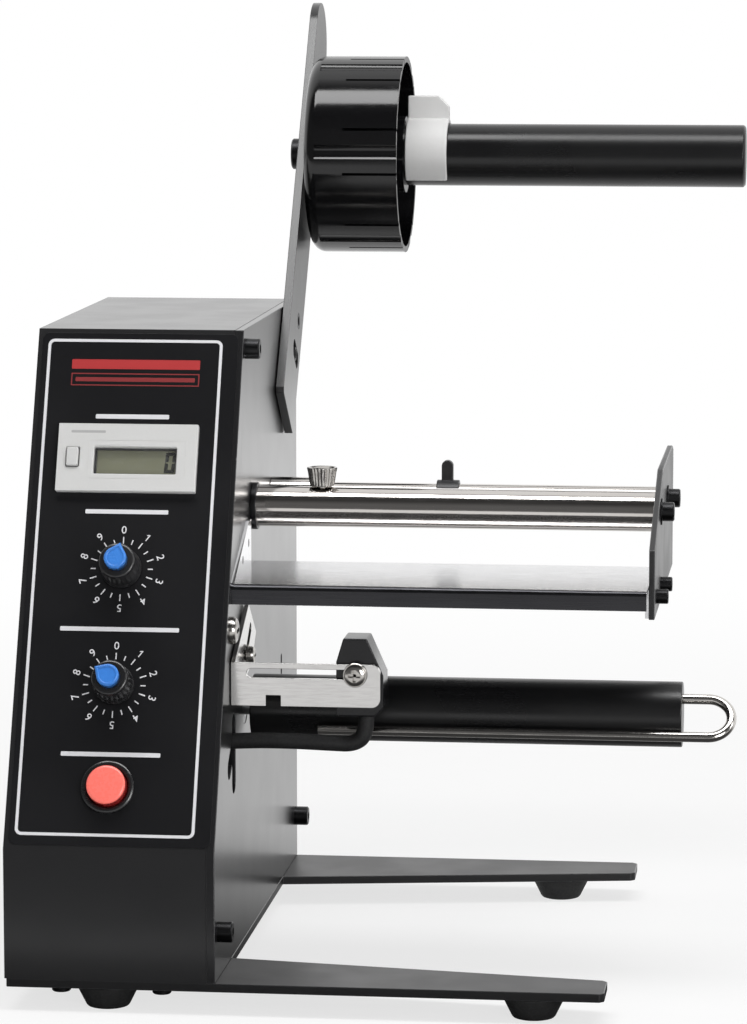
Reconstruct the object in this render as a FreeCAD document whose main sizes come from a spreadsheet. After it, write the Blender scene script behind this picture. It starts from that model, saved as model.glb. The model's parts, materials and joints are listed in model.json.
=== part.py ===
import FreeCAD, Part
import math
import operator
import os
import types

import Sketcher

# A desk-top label dispenser: a casing with a leaning control panel, and beside it the supply arm,
# the label path and the take-up roller. Places are given from three faces of the casing: x from the
# outer face of the side plate, y from the front edge, z from the floor.

SIZES = {
    # casing
    "case_wide": 71,
    "case_deep": 208,
    "case_tall": 211,
    "knee_rise": 44,
    "lean": 23.6,
    "plate_thick": 3,
    "cover_wall": 1.5,
    "block_side": 10,
    # base plate and feet
    "base_thick": 3,
    "base_inset": 0.5,
    "leg_reach": 129,
    "leg_root": 38,
    "leg_tip": 19.7,
    "rear_leg_root": 39.5,
    "rear_leg_tip": 18.7,
    "leg_corner": 1.5,
    "foot_tall": 8,
    "foot_top": 11,
    "foot_base": 7,
    "foot_inset": 12,
    "foot_left": 38,
    "foot_right": 105,
    "rear_foot_right": 101,
    # fits
    "running_gap": 0.06,
    "screw_gap": 0.1,
    "body_gap": 0.3,
    "overrun": 2,
    # screws: head radius, head height, shank radius, shank reach
    "base_head": 3.2,
    "base_head_tall": 2,
    "base_shank": 1.5,
    "base_reach": 9,
    "base_screw_left": 52.8,
    "base_screw_right": 18.8,
    "base_screw_inset": 6,
    "side_head": 3.5,
    "side_head_tall": 5,
    "side_shank": 2,
    "side_reach": 11,
    "side_low": 16,
    "side_high": 6.7,
    "side_front": 7.5,
    "side_rear": 5.2,
    "side_top_front": 77.2,
    # slots in the side plate
    "cable_slot_front": 45,
    "cable_slot_half": 4,
    "cable_slot_low": 55.5,
    "cable_slot_high": 83,
    "cable_rise": 73.5,
    "cable_branch_half": 3.6,
    "vent_slot_back": 43,
    "vent_slot_half": 1.5,
    "vent_slot_low": 76,
    "vent_slot_high": 84,
    # control label
    "label_thick": 0.3,
    "label_margin": 1.6,
    "label_corner": 2.5,
    # counter
    "counter_x": 37.25,
    "counter_rise": 135.45,
    "length_share": 0.7154,
    "speed_share": 0.4171,
    "power_share": 0.158,
    "counter_wide": 48,
    "counter_tall": 24,
    "counter_proud": 2.5,
    "counter_neck_wide": 44.4,
    "counter_neck_tall": 21,
    "counter_deep": 42,
    "counter_fit": 0.25,
    "window_wide": 28.3,
    "window_tall": 9.4,
    "window_right": 2.8,
    "window_drop": 1.05,
    "window_deep": 4,
    "lens_thick": 1,
    "lens_sink": 0.4,
    "display_thick": 1.6,
    "key_wide": 4,
    "key_tall": 6.4,
    "key_left": 18.7,
    "key_deep": 6,
    "key_travel": 1.2,
    "key_proud": 1,
    # dials
    "dial_x": 37,
    "length_turn": 16,
    "speed_turn": -58,
    "knob_radius": 7,
    "knob_top_radius": 6.2,
    "knob_float": 0.5,
    "knob_tall": 10.5,
    "knob_hollow": 6,
    "knob_hollow_deep": 3.6,
    "cap_radius": 3.8,
    "cap_tip": 5.6,
    "cap_tall": 4,
    "spindle_radius": 3,
    "spindle_back": 7,
    "spindle_tall": 9,
    "neck_radius": 3.7,
    "neck_tall": 3,
    "nut_radius": 5.4,
    "nut_tall": 2,
    "pot_radius": 8.5,
    "pot_deep": 10,
    # power button
    "power_x": 36.9,
    "bezel_radius": 9,
    "bezel_proud": 2,
    "bezel_neck": 8,
    "bezel_deep": 10,
    "button_radius": 6.6,
    "button_proud": 6,
    "button_deep": 6,
    "switch_half": 9,
    "switch_deep": 18,
    # supply arm, in its own directions from the pivot: along the arm and across it
    "pivot_back": 17.1,
    "pivot_drop": 6.8,
    "arm_lean": 36.8,
    "arm_thick": 3,
    "arm_half": 15.9,
    "arm_set": 4.9,
    "arm_below": 42.5,
    "arm_corner": 1.5,
    "arm_top": 121.1,
    "pivot_radius": 3,
    "stop_radius": 2.6,
    "stop_drop": 14.2,
    "stop_slot": 3.3,
    "stop_slot_run": 8,
    "arm_screw_head": 5,
    "arm_screw_head_tall": 3,
    # supply rod, hub and clip
    "rod_along": 70.9,
    "supply_radius": 11.55,
    "supply_reach": 166,
    "rod_corner": 0.8,
    "rod_bolt_head": 5.75,
    "rod_bolt_tall": 4.3,
    "rod_bolt_shank": 4,
    "rod_bolt_reach": 20,
    "hub_gap": 1,
    "hub_long": 34.8,
    "hub_radius": 36.6,
    "hub_wall": 2.2,
    "hub_corner": 5,
    "hub_face": 2.5,
    "hub_sleeve": 14.2,
    "hub_web": 2,
    "hub_web_long": 24,
    "flute_radius": 4,
    "flute_deep": 1.1,
    "flute_start": 4.4,
    "slit_wide": 1,
    "slit_long": 20,
    "clip_start": 39.8,
    "clip_long": 15.5,
    "clip_radius": 13.4,
    "clip_top": 22,
    "clip_tab": 3,
    "clip_corner": 4,
    # label path
    "peel_rise": 128,
    "peel_front": 38,
    "peel_deep": 60,
    "peel_thick": 1.2,
    "peel_lip": 6.5,
    "peel_flange_top": 17,
    "peel_flange_peak": 36.5,
    "peel_flange_back": 42,
    "peel_right_drop": 11,
    "peel_right_front": 14,
    "path_gap": 13,
    "path_long": 140,
    "front_rod_radius": 7,
    "front_rod_y": 93,
    "rear_rod_radius": 4,
    "rear_rod_y": 140,
    "rear_rod_drop": 1.2,
    "ring_radius": 8.2,
    "ring_thick": 2,
    "collar_radius": 5.7,
    "collar_long": 18,
    "guide_start": 59.8,
    "guide_long": 8,
    "guide_radius": 5.4,
    "fin_start": 1.7,
    "fin_wide": 4.1,
    "fin_thick": 3,
    "fin_top": 12.5,
    "thumb_x": 24.3,
    "thumb_radius": 5.2,
    "thumb_tall": 6.5,
    "thumb_shank": 1.9,
    "thumb_reach": 6,
    "rod_screw_head": 4,
    "rod_screw_tall": 4,
    "rod_screw_shank": 2.4,
    "rod_screw_reach": 12,
    "rear_screw_shank": 1.9,
    # end plate
    "end_thick": 2,
    "end_front": 52,
    "end_back": 186,
    "end_low": 11.5,
    "end_front_tall": 12,
    "end_top": 33,
    "end_shoulder": 54,
    "end_corner": 6,
    "end_corner_drop": 2,
    "end_head": 3.3,
    "end_head_tall": 4,
    "washer_radius": 4.6,
    "washer_thick": 0.6,
    "small_head": 2.5,
    "small_head_tall": 4,
    "small_shank": 1.4,
    "small_drop": 5.5,
    "small_front": 66,
    "small_back": 95,
    # screws that hold the peel plate from inside
    "peel_screw_head": 2.6,
    "peel_screw_tall": 2,
    "peel_screw_shank": 1.4,
    "peel_screw_front": 60,
    "peel_screw_back": 74,
    "peel_screw_low": 5.5,
    "peel_screw_high": 9.5,
    # terminal block and its screw
    "terminal_y": 39.6,
    "terminal_rise": 112.4,
    "terminal_head": 4.7,
    "terminal_head_tall": 2.4,
    "terminal_shank": 1.9,
    "terminal_reach": 12,
    "terminal_deep": 14,
    "terminal_half": 5,
    # sensor bracket
    "bracket_front": 36.5,
    "bracket_sheet": 1.5,
    "bracket_long": 50.7,
    "bracket_low": 87.3,
    "bracket_tall": 14.7,
    "bracket_corner": 3,
    "bracket_slot_left": 5.6,
    "bracket_slot_right": 44.2,
    "bracket_slot_half": 1.6,
    "bracket_slot_rise": 11.2,
    "bracket_notch": 12.2,
    "bracket_notch_wide": 5,
    "bracket_notch_tall": 3.7,
    "flange_peak_y": 69.7,
    "flange_peak": 116.9,
    "flange_back_y": 87,
    "flange_back": 104.7,
    "flange_heel_y": 77,
    "flange_heel": 95.6,
    "flange_slot_y": 62.7,
    "flange_slot_rise": 100.2,
    "flange_slot_run": 13,
    "flange_slot_half": 2.1,
    "flange_slope": 36,
    "bracket_screw_head": 3.2,
    "bracket_screw_tall": 2,
    "bracket_screw_shank": 1.75,
    "bracket_washer": 3.8,
    "bracket_washer_thick": 0.8,
    # sensor head
    "sensor_left": 35.8,
    "sensor_right": 51.8,
    "sensor_deep": 13.7,
    "sensor_top": 110.5,
    "sensor_top_left": 38.2,
    "sensor_top_right": 46.2,
    "sensor_shoulder": 102.5,
    "sensor_cheek": 98,
    "sensor_low": 84,
    "sensor_low_corner": 3,
    "sensor_screw_x": 42.5,
    "sensor_screw_head": 3.6,
    "sensor_screw_tall": 2,
    "sensor_screw_shank": 1.3,
    "sensor_screw_reach": 9,
    "sensor_washer": 4.1,
    "sensor_washer_thick": 0.8,
    # roller, wire clip and drive
    "roller_y": 72,
    "roller_rise": 81,
    "roller_radius": 11.2,
    "roller_start": 3,
    "wire_radius": 1.75,
    "wire_reach": 169.5,
    "wire_over": 18.5,
    "wire_start": 27,
    "wire_outer_turn": 205,
    "wire_inner_turn": 100,
    "wire_inner_radius": 5.6,
    "wire_bore_end": 22,
    "shaft_radius": 3,
    "shaft_in": 30,
    "boss_radius": 6,
    "boss_sink": 0.2,
    "gear_module": 0.8,
    "gear_teeth": 36,
    "pinion_teeth": 12,
    "gear_wide": 6,
    "gear_backlash": 0.12,
    "gear_extra": 0.1,
    "gearbox_wall": 2,
    "gearbox_deep": 22,
    "gearbox_room": 1.2,
    "motor_radius": 14,
    "motor_long": 36,
    "motor_shaft": 1.5,
    "motor_shaft_in": 12,
    "gearbox_screw_head": 2.6,
    "gearbox_screw_tall": 2,
    "gearbox_screw_shank": 1.3,
    "gearbox_screw_tip": 1.2,
    "gearbox_ear": 7,
    # circuit board, transformer and inlet
    "board_back": 190,
    "board_deep": 80,
    "board_low": 49,
    "board_tall": 90,
    "board_thick": 1.6,
    "post_radius": 3,
    "post_long": 6,
    "post_inset": 6,
    "relay_deep": 16,
    "relay_tall": 20,
    "relay_thick": 12,
    "relay_front": 18,
    "relay_rise": 12,
    "relay_gap": 8,
    "heatsink_thick": 9,
    "heatsink_deep": 32,
    "heatsink_rise": 48,
    "core_deep": 40,
    "core_wide": 44,
    "core_tall": 34,
    "core_back": 175,
    "core_left": 60,
    "coil_proud": 6,
    "coil_margin": 7,
    "inlet_wide": 28,
    "inlet_tall": 20,
    "inlet_deep": 18,
    "inlet_flange": 4,
    "inlet_flange_thick": 2,
    "inlet_x": 37,
    "inlet_rise": 22,
    "inlet_mouth_wide": 22,
    "inlet_mouth_tall": 14,
}

# Counts, and angles in degrees, that aren't sizes
SOCKET_SIDES = 6
THUMB_SIDES = 24
HUB_FLUTES = 6
FIRST_FLUTE_ANGLE = 26
SLIT_ANGLE = 13
CLIP_OPENING_ANGLE = -135
PRESSURE_ANGLE = 20
FLANK_STEPS = 6

# Tooth depth above and below the pitch circle, in modules, and how much of a run a bend takes
TOOTH_TIP_SHARE = 0.8
TOOTH_ROOT_SHARE = 1.25
BEND_SHARE = 0.45

OPERATIONS = {"+": operator.add, "-": operator.sub, "*": operator.mul, "/": operator.truediv}

doc = FreeCAD.newDocument("LabelDispenser")
sheet = doc.addObject("Spreadsheet::Sheet", "Sizes")
for row, (alias, number) in enumerate(SIZES.items(), 1):
    sheet.set(f"A{row}", alias)
    sheet.set(f"B{row}", str(number))
    sheet.setAlias(f"B{row}", alias)
doc.recompute()


class Size:
    """A size that carries both its number and the sheet formula that it stands for."""

    def __init__(self, text, value):
        self.text = text
        self.value = value

    def __add__(self, other):
        return joined(self, "+", other)

    def __radd__(self, other):
        return joined(other, "+", self)

    def __sub__(self, other):
        return joined(self, "-", other)

    def __rsub__(self, other):
        return joined(other, "-", self)

    def __mul__(self, other):
        return joined(self, "*", other)

    def __rmul__(self, other):
        return joined(other, "*", self)

    def __truediv__(self, other):
        return joined(self, "/", other)

    def __rtruediv__(self, other):
        return joined(other, "/", self)

    def __neg__(self):
        return joined(0, "-", self)


def as_size(number):
    return number if isinstance(number, Size) else Size(f"({number})", float(number))


def joined(first, sign, last):
    first = as_size(first)
    last = as_size(last)
    return Size(f"({first.text} {sign} {last.text})", OPERATIONS[sign](first.value, last.value))


def sin(angle):
    return Size(f"sin({angle.text} * 1 deg)", math.sin(math.radians(angle.value)))


def cos(angle):
    return Size(f"cos({angle.text} * 1 deg)", math.cos(math.radians(angle.value)))


def tan(angle):
    return Size(f"tan({angle.text} * 1 deg)", math.tan(math.radians(angle.value)))


def root(number):
    return Size(f"sqrt({number.text})", math.sqrt(number.value))


def bind(thing, prop, amount):
    thing.setExpression(prop, as_size(amount).text)


size = types.SimpleNamespace(**{alias: Size(f"Sizes.{alias}", float(sheet.get(alias))) for alias in SIZES})

# Heights and faces of the casing
base_top = size.foot_tall + size.base_thick
knee = base_top + size.knee_rise
case_top = base_top + size.case_tall
panel_back = tan(size.lean) * (size.case_tall - size.knee_rise)
panel_long = (size.case_tall - size.knee_rise) / cos(size.lean)
cover_right = -size.plate_thick
inner_left = size.cover_wall - size.case_wide
inner_back = size.case_deep - size.cover_wall

# Dials and button, spaced down the panel by the counter's height on it
length_rise = size.counter_rise * size.length_share
speed_rise = size.counter_rise * size.speed_share
power_rise = size.counter_rise * size.power_share

# Supply arm
pivot_y = size.case_deep - size.pivot_back
pivot_z = case_top - size.pivot_drop
arm_left = size.body_gap
arm_right = arm_left + size.arm_thick


def on_arm(along, across):
    """Place on the side of the arm, from its pivot."""
    y = pivot_y + along * sin(size.arm_lean) + across * cos(size.arm_lean)
    z = pivot_z + along * cos(size.arm_lean) - across * sin(size.arm_lean)
    return y, z


arm_tip_y, arm_tip_z = on_arm(size.arm_top, -size.arm_set)
rod_y, rod_z = on_arm(size.rod_along, -size.arm_set)

# Label path
peel_top = base_top + size.peel_rise
front_rod_z = peel_top + size.path_gap + size.front_rod_radius
rear_rod_z = front_rod_z - size.rear_rod_drop
end_right = size.path_long + size.end_thick
roller_z = base_top + size.roller_rise
roller_end = size.wire_reach - size.wire_over

# The origin stands on the floor under the middle of the whole machine.
datum_x = (size.case_wide - size.wire_reach) / 2
datum_y = -(arm_tip_y + size.arm_half) / 2

WAYS = {
    "x": (FreeCAD.Vector(0, 1, 0), as_size(90), (1, 0, 0)),
    "-x": (FreeCAD.Vector(0, 1, 0), as_size(-90), (-1, 0, 0)),
    "y": (FreeCAD.Vector(1, 0, 0), as_size(-90), (0, 1, 0)),
    "-y": (FreeCAD.Vector(1, 0, 0), as_size(90), (0, -1, 0)),
    "z": (FreeCAD.Vector(1, 0, 0), as_size(0), (0, 0, 1)),
    "-z": (FreeCAD.Vector(1, 0, 0), as_size(180), (0, 0, -1)),
    "panel": (FreeCAD.Vector(1, 0, 0), 90 - size.lean, (0, -cos(size.lean), sin(size.lean))),
    "arm": (FreeCAD.Vector(1, 0, 0), -size.arm_lean, (0, sin(size.arm_lean), cos(size.arm_lean))),
}
ORIGIN = (0, 0, 0)
nodes = {}


def on_panel(x, rise, out):
    """Place on the control panel: across it, up its slope from the knee, and out from its face."""
    y = rise * sin(size.lean) - out * cos(size.lean)
    z = knee + rise * cos(size.lean) + out * sin(size.lean)
    return x, y, z


def along(spot, way, distance):
    return tuple(part + distance * share for part, share in zip(spot, WAYS[way][2]))


def place(thing, spot, way="z"):
    """Stands a thing at a spot with its own Z axis turned to the named way."""
    axis, turn, _ = WAYS[way]
    if turn.value:
        thing.Placement = FreeCAD.Placement(FreeCAD.Vector(), FreeCAD.Rotation(axis, turn.value))
        bind(thing, "Placement.Rotation.Angle", turn)
    bind(thing, "Placement.Base.x", datum_x + spot[0])
    bind(thing, "Placement.Base.y", datum_y + spot[1])
    bind(thing, "Placement.Base.z", spot[2])
    return thing


def cylinder(radius, length, spot, way="z"):
    thing = doc.addObject("Part::Cylinder", "Cylinder")
    bind(thing, "Radius", radius)
    bind(thing, "Height", length)
    return place(thing, spot, way)


def cone(radius, end_radius, length, spot, way="z"):
    thing = doc.addObject("Part::Cone", "Cone")
    bind(thing, "Radius1", radius)
    bind(thing, "Radius2", end_radius)
    bind(thing, "Height", length)
    return place(thing, spot, way)


def prism(sides, radius, length, spot, way="z"):
    thing = doc.addObject("Part::Prism", "Prism")
    thing.Polygon = sides
    bind(thing, "Circumradius", radius)
    bind(thing, "Height", length)
    return place(thing, spot, way)


def box(wide, deep, tall, spot, way="z"):
    """A block from its corner at the spot."""
    thing = doc.addObject("Part::Box", "Box")
    bind(thing, "Length", wide)
    bind(thing, "Width", deep)
    bind(thing, "Height", tall)
    return place(thing, spot, way)


def panel_box(x, rise, wide, tall, low, high):
    """A block square to the panel, centred at a place on it and reaching from low to high out of it."""
    return box(wide, tall, high - low, on_panel(x - wide / 2, rise - tall / 2, low), "panel")


def fuse(*things):
    thing = doc.addObject("Part::MultiFuse", "Fusion")
    thing.Shapes = list(things)
    return thing


def cut(base, *tools):
    thing = doc.addObject("Part::Cut", "Cut")
    thing.Base = base
    thing.Tool = fuse(*tools) if len(tools) > 1 else tools[0]
    return thing


def group(*things):
    thing = doc.addObject("Part::Compound", "Group")
    thing.Links = list(things)
    return thing


def coded(shape, spot=ORIGIN):
    """A feature whose shape is worked out in code about the spot."""
    thing = doc.addObject("Part::Feature", "Shape")
    thing.Shape = shape
    base = FreeCAD.Vector((datum_x + spot[0]).value, (datum_y + spot[1]).value, as_size(spot[2]).value)
    thing.Placement = FreeCAD.Placement(base, FreeCAD.Rotation())
    return thing


def node(name, thing):
    """Names a finished piece."""
    thing.Label = name
    nodes[name] = thing
    return thing


def flat(u, v):
    return FreeCAD.Vector(as_size(u).value, as_size(v).value, 0)


def fix_point(sketch, edge, end, u, v):
    """Ties a point of a sketch to its two sizes."""
    for kind, amount in (("DistanceX", u), ("DistanceY", v)):
        number = sketch.addConstraint(Sketcher.Constraint(kind, -1, 1, edge, end, as_size(amount).value))
        sketch.setExpression(f"Constraints[{number}]", as_size(amount).text)


def fix_radius(sketch, edge, radius):
    number = sketch.addConstraint(Sketcher.Constraint("Radius", edge, radius.value))
    sketch.setExpression(f"Constraints[{number}]", radius.text)


def arc_edge(start, middle, end):
    centre = Part.Circle(start, middle, end).Center
    first = math.atan2(start.y - centre.y, start.x - centre.x)
    last = math.atan2(end.y - centre.y, end.x - centre.x)
    circle = Part.Circle(centre, FreeCAD.Vector(0, 0, 1), (start - centre).Length)
    return Part.ArcOfCircle(circle, first, last if last > first else last + 2 * math.pi)


def draw_outline(sketch, points):
    """A closed outline. A point that carries a second pair starts an arc that passes by that pair."""
    edges = []
    for here, after in zip(points, points[1:] + points[:1]):
        start = flat(*here[:2])
        end = flat(*after[:2])
        line = arc_edge(start, flat(*here[2:]), end) if len(here) > 2 else Part.LineSegment(start, end)
        edges.append(sketch.addGeometry(line, False))
    for place_in_list, here in enumerate(points):
        joint = "Tangent" if len(here) > 2 else "Coincident"
        sketch.addConstraint(
            Sketcher.Constraint(joint, edges[place_in_list - 1], 2, edges[place_in_list], 1))
        fix_point(sketch, edges[place_in_list], 1, here[0], here[1])


def draw_circle(sketch, u, v, radius):
    edge = sketch.addGeometry(Part.Circle(flat(u, v), FreeCAD.Vector(0, 0, 1), radius.value), False)
    fix_radius(sketch, edge, radius)
    fix_point(sketch, edge, 3, u, v)


def draw_slot(sketch, start, end, radius):
    """A round-ended slot between two centres."""
    first = flat(*start)
    last = flat(*end)
    side = FreeCAD.Vector(first.y - last.y, last.x - first.x, 0).normalize() * radius.value
    turn = math.atan2(side.y, side.x)
    rings = [Part.Circle(centre, FreeCAD.Vector(0, 0, 1), radius.value) for centre in (first, last)]
    edges = [sketch.addGeometry(line, False) for line in (
        Part.ArcOfCircle(rings[0], turn, turn + math.pi),
        Part.LineSegment(first - side, last - side),
        Part.ArcOfCircle(rings[1], turn + math.pi, turn + 2 * math.pi),
        Part.LineSegment(last + side, first + side),
    )]
    for number, edge in enumerate(edges):
        sketch.addConstraint(Sketcher.Constraint("Tangent", edges[number - 1], 2, edge, 1))
    sketch.addConstraint(Sketcher.Constraint("Equal", edges[0], edges[2]))
    fix_radius(sketch, edges[0], radius)
    fix_point(sketch, edges[0], 3, *start)
    fix_point(sketch, edges[2], 3, *end)


def plate(plane, start, thick, outlines, circles=(), slots=(), spot=ORIGIN, way="z", turn=None):
    """A flat piece: one sketch on a plane of its body, set off by start and padded by thick."""
    body = doc.addObject("PartDesign::Body", "Body")
    sketch = body.newObject("Sketcher::SketchObject", "Sketch")
    sketch.AttachmentSupport = [(next(p for p in body.Origin.OriginFeatures if p.Role == plane), "")]
    sketch.MapMode = "FlatFace"
    for points in outlines:
        draw_outline(sketch, points)
    for circle in circles:
        draw_circle(sketch, *circle)
    for slot in slots:
        draw_slot(sketch, *slot)
    if turn:
        sketch.AttachmentOffset = FreeCAD.Placement(
            FreeCAD.Vector(), FreeCAD.Rotation(FreeCAD.Vector(0, 0, 1), turn.value))
        bind(sketch, "AttachmentOffset.Rotation.Angle", turn)
    bind(sketch, "AttachmentOffset.Base.z", start)
    pad = body.newObject("PartDesign::Pad", "Pad")
    pad.Profile = sketch
    bind(pad, "Length", thick)
    return place(body, spot, way)


def rectangle(left, low, right, high):
    return [(left, low), (right, low), (right, high), (left, high)]


def rounded(left, low, right, high, corner):
    """A rectangle whose corners are quarter rounds."""
    bend = corner * (1 - math.sqrt(0.5))
    return [
        (left + corner, low),
        (right - corner, low, right - bend, low + bend),
        (right, low + corner),
        (right, high - corner, right - bend, high - bend),
        (right - corner, high),
        (left + corner, high, left + bend, high - bend),
        (left, high - corner),
        (left, low + corner, left + bend, low + bend),
    ]


def screw(head, tall, shank, reach, spot, way, socket=True):
    """A screw whose head stands out from the spot and whose shank runs the other way."""
    solid = fuse(
        cylinder(head, tall, spot, way),
        cylinder(shank, reach, along(spot, way, -reach), way))
    if not socket:
        return solid
    return cut(solid, prism(SOCKET_SIDES, head / 2, tall, along(spot, way, tall / 2), way))


def washer(radius, bore, thick, spot, way):
    return cut(
        cylinder(radius, thick, spot, way),
        cylinder(bore, thick + size.overrun * 2, along(spot, way, -size.overrun), way))


def chamfered_rod(radius, start, end, corner, y, z):
    """A rod along x with its right-hand edge broken."""
    return fuse(
        cylinder(radius, end - corner - start, (start, y, z), "x"),
        cone(radius, radius - corner, corner, (end - corner, y, z), "x"))


# Casing

side_high_z = case_top - size.side_high
side_low_z = base_top + size.side_low
side_rear_y = size.case_deep - size.side_rear
side_screw_spots = [
    (size.side_top_front, side_high_z),
    (size.side_front, side_low_z),
    (side_rear_y, side_low_z),
]
base_screw_spots = [
    (x, y) for x in (-size.base_screw_left, -size.base_screw_right)
    for y in (size.base_screw_inset, size.case_deep - size.base_screw_inset)]
panel_holes = [
    (size.dial_x, length_rise, size.neck_radius),
    (size.dial_x, speed_rise, size.neck_radius),
    (size.power_x, power_rise, size.bezel_neck),
]
inlet_left = -size.inlet_x - size.inlet_wide / 2
inlet_low = base_top + size.inlet_rise
cable_slot = (
    (size.cable_slot_front, base_top + size.cable_slot_low + size.cable_slot_half),
    (size.cable_slot_front, base_top + size.cable_slot_high - size.cable_slot_half),
    size.cable_slot_half)
vent_slot = (
    (size.case_deep - size.vent_slot_back, base_top + size.vent_slot_low + size.vent_slot_half),
    (size.case_deep - size.vent_slot_back, base_top + size.vent_slot_high - size.vent_slot_half),
    size.vent_slot_half)
peel_screw_spots = [
    (size.peel_screw_front, peel_top + size.peel_screw_low),
    (size.peel_screw_back, peel_top + size.peel_screw_high),
]
stop_y, stop_z = on_arm(-size.stop_drop, as_size(0))
bracket_screw_y = size.flange_slot_y
bracket_screw_z = base_top + size.flange_slot_rise
slot_far = (
    bracket_screw_y + size.flange_slot_run * cos(size.flange_slope),
    bracket_screw_z + size.flange_slot_run * sin(size.flange_slope))
terminal_z = base_top + size.terminal_rise
pinion_run = size.gear_module * (size.gear_teeth + size.pinion_teeth) / 2 + size.gear_extra
pinion_y = size.roller_y + pinion_run
gear_radius = size.gear_module * size.gear_teeth / 2
gearbox_half = gear_radius + size.gear_module + size.gearbox_room + size.gearbox_wall
gearbox_front = size.roller_y - gearbox_half
gearbox_back = pinion_y + size.gear_module * size.pinion_teeth / 2 + size.gear_module \
    + size.gearbox_room + size.gearbox_wall
gearbox_left = cover_right - size.gearbox_deep
gearbox_screw_spots = [
    (y, roller_z + side * (gearbox_half + size.gearbox_ear / 2))
    for y in (gearbox_front + size.gearbox_ear / 2, gearbox_back - size.gearbox_ear / 2)
    for side in (-1, 1)]


def side_plate():
    profile = [
        (0, base_top),
        (size.case_deep, base_top),
        (size.case_deep, case_top),
        (panel_back, case_top),
        (0, knee),
    ]
    holes = [(y, z, size.side_shank + size.screw_gap) for y, z in side_screw_spots]
    holes += [(y, z, size.peel_screw_shank + size.screw_gap) for y, z in peel_screw_spots]
    holes += [
        (size.front_rod_y, front_rod_z, size.rod_screw_shank + size.screw_gap),
        (size.rear_rod_y, rear_rod_z, size.rear_screw_shank + size.screw_gap),
        (size.roller_y, roller_z, size.boss_radius + size.screw_gap),
        (pivot_y, pivot_z, size.pivot_radius + size.screw_gap),
        (stop_y, stop_z, size.stop_radius + size.screw_gap),
        (bracket_screw_y, bracket_screw_z, size.bracket_screw_shank + size.screw_gap),
        (size.terminal_y, terminal_z, size.terminal_shank + size.screw_gap),
    ]
    body = plate("YZ_Plane", cover_right, size.plate_thick, [profile], holes, [cable_slot, vent_slot])
    # The slot has a slanted branch, which the cable takes as the sensor bracket slides down.
    branch_far = (
        size.cable_slot_front - size.flange_slot_run * cos(size.flange_slope),
        base_top + size.cable_rise - size.flange_slot_run * sin(size.flange_slope))
    branch = plate(
        "YZ_Plane", cover_right - size.overrun, size.plate_thick + size.overrun * 2, [], (),
        [((size.cable_slot_front, base_top + size.cable_rise), branch_far, size.cable_branch_half)])
    blind_start = -size.plate_thick - size.gearbox_screw_tip
    blind = [
        cylinder(size.gearbox_screw_shank + size.screw_gap, size.plate_thick, (blind_start, y, z), "x")
        for y, z in gearbox_screw_spots]
    node("side_plate", cut(body, branch, *blind))


def cover_profile(inset, low):
    """Side outline of the cover, drawn in from the outer faces by inset."""
    top_shift = inset / cos(size.lean) - inset * tan(size.lean)
    return [
        (inset, low),
        (size.case_deep - inset, low),
        (size.case_deep - inset, case_top - inset),
        (panel_back + top_shift, case_top - inset),
        (inset, knee - inset * tan(size.lean / 2)),
    ]


def cover_shell():
    outer = plate("YZ_Plane", -size.case_wide, size.case_wide - size.plate_thick,
                  [cover_profile(0, base_top)])
    inner = plate("YZ_Plane", inner_left, size.case_wide,
                  [cover_profile(size.cover_wall, base_top - size.overrun)])
    half = size.block_side / 2
    corners = [
        (size.side_top_front - half, size.side_top_front + half,
         side_high_z - half, case_top - size.cover_wall),
        (size.cover_wall, size.side_front + half, side_low_z - half, side_low_z + half),
        (side_rear_y - half, inner_back, side_low_z - half, side_low_z + half),
    ]
    blocks = [
        box(size.block_side, back - front, top - low, (cover_right - size.block_side, front, low))
        for front, back, low, top in corners]
    holes = [
        cylinder(size.side_shank + size.screw_gap, size.side_reach,
                 (-size.side_reach - size.screw_gap, y, z), "x")
        for y, z in side_screw_spots]
    for x, y in base_screw_spots:
        front = size.cover_wall if y.value < panel_back.value else y - half
        deep = half + size.base_screw_inset - size.cover_wall
        blocks.append(box(size.block_side, deep, size.block_side, (x - half, front, base_top)))
        holes.append(cylinder(size.base_shank + size.screw_gap, size.base_reach, (x, y, size.foot_tall)))
    holes.append(panel_box(
        -size.counter_x, size.counter_rise, size.counter_neck_wide + size.counter_fit * 2,
        size.counter_neck_tall + size.counter_fit * 2, -size.cover_wall - size.overrun, size.overrun))
    for x, rise, radius in panel_holes:
        holes.append(cylinder(
            radius + size.screw_gap, size.cover_wall + size.overrun * 2,
            on_panel(-x, rise, -size.cover_wall - size.overrun), "panel"))
    holes.append(box(
        size.inlet_wide + size.counter_fit * 2, size.cover_wall + size.overrun * 2,
        size.inlet_tall + size.counter_fit * 2,
        (inlet_left - size.counter_fit, inner_back - size.overrun, inlet_low - size.counter_fit)))
    node("cover_shell", cut(fuse(cut(outer, inner), *blocks), *holes))


def control_label():
    left = size.label_margin - size.case_wide
    low = size.label_margin
    shapes = [rounded(left, low, -low, panel_long - low, size.label_corner)]
    shapes.append(rectangle(
        -size.counter_x - size.counter_neck_wide / 2 - size.counter_fit,
        size.counter_rise - size.counter_neck_tall / 2 - size.counter_fit,
        -size.counter_x + size.counter_neck_wide / 2 + size.counter_fit,
        size.counter_rise + size.counter_neck_tall / 2 + size.counter_fit))
    circles = [(-x, rise, radius + size.screw_gap) for x, rise, radius in panel_holes]
    node("control_label", plate(
        "XY_Plane", 0, size.label_thick, shapes, circles, spot=on_panel(0, 0, 0), way="panel"))


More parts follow.
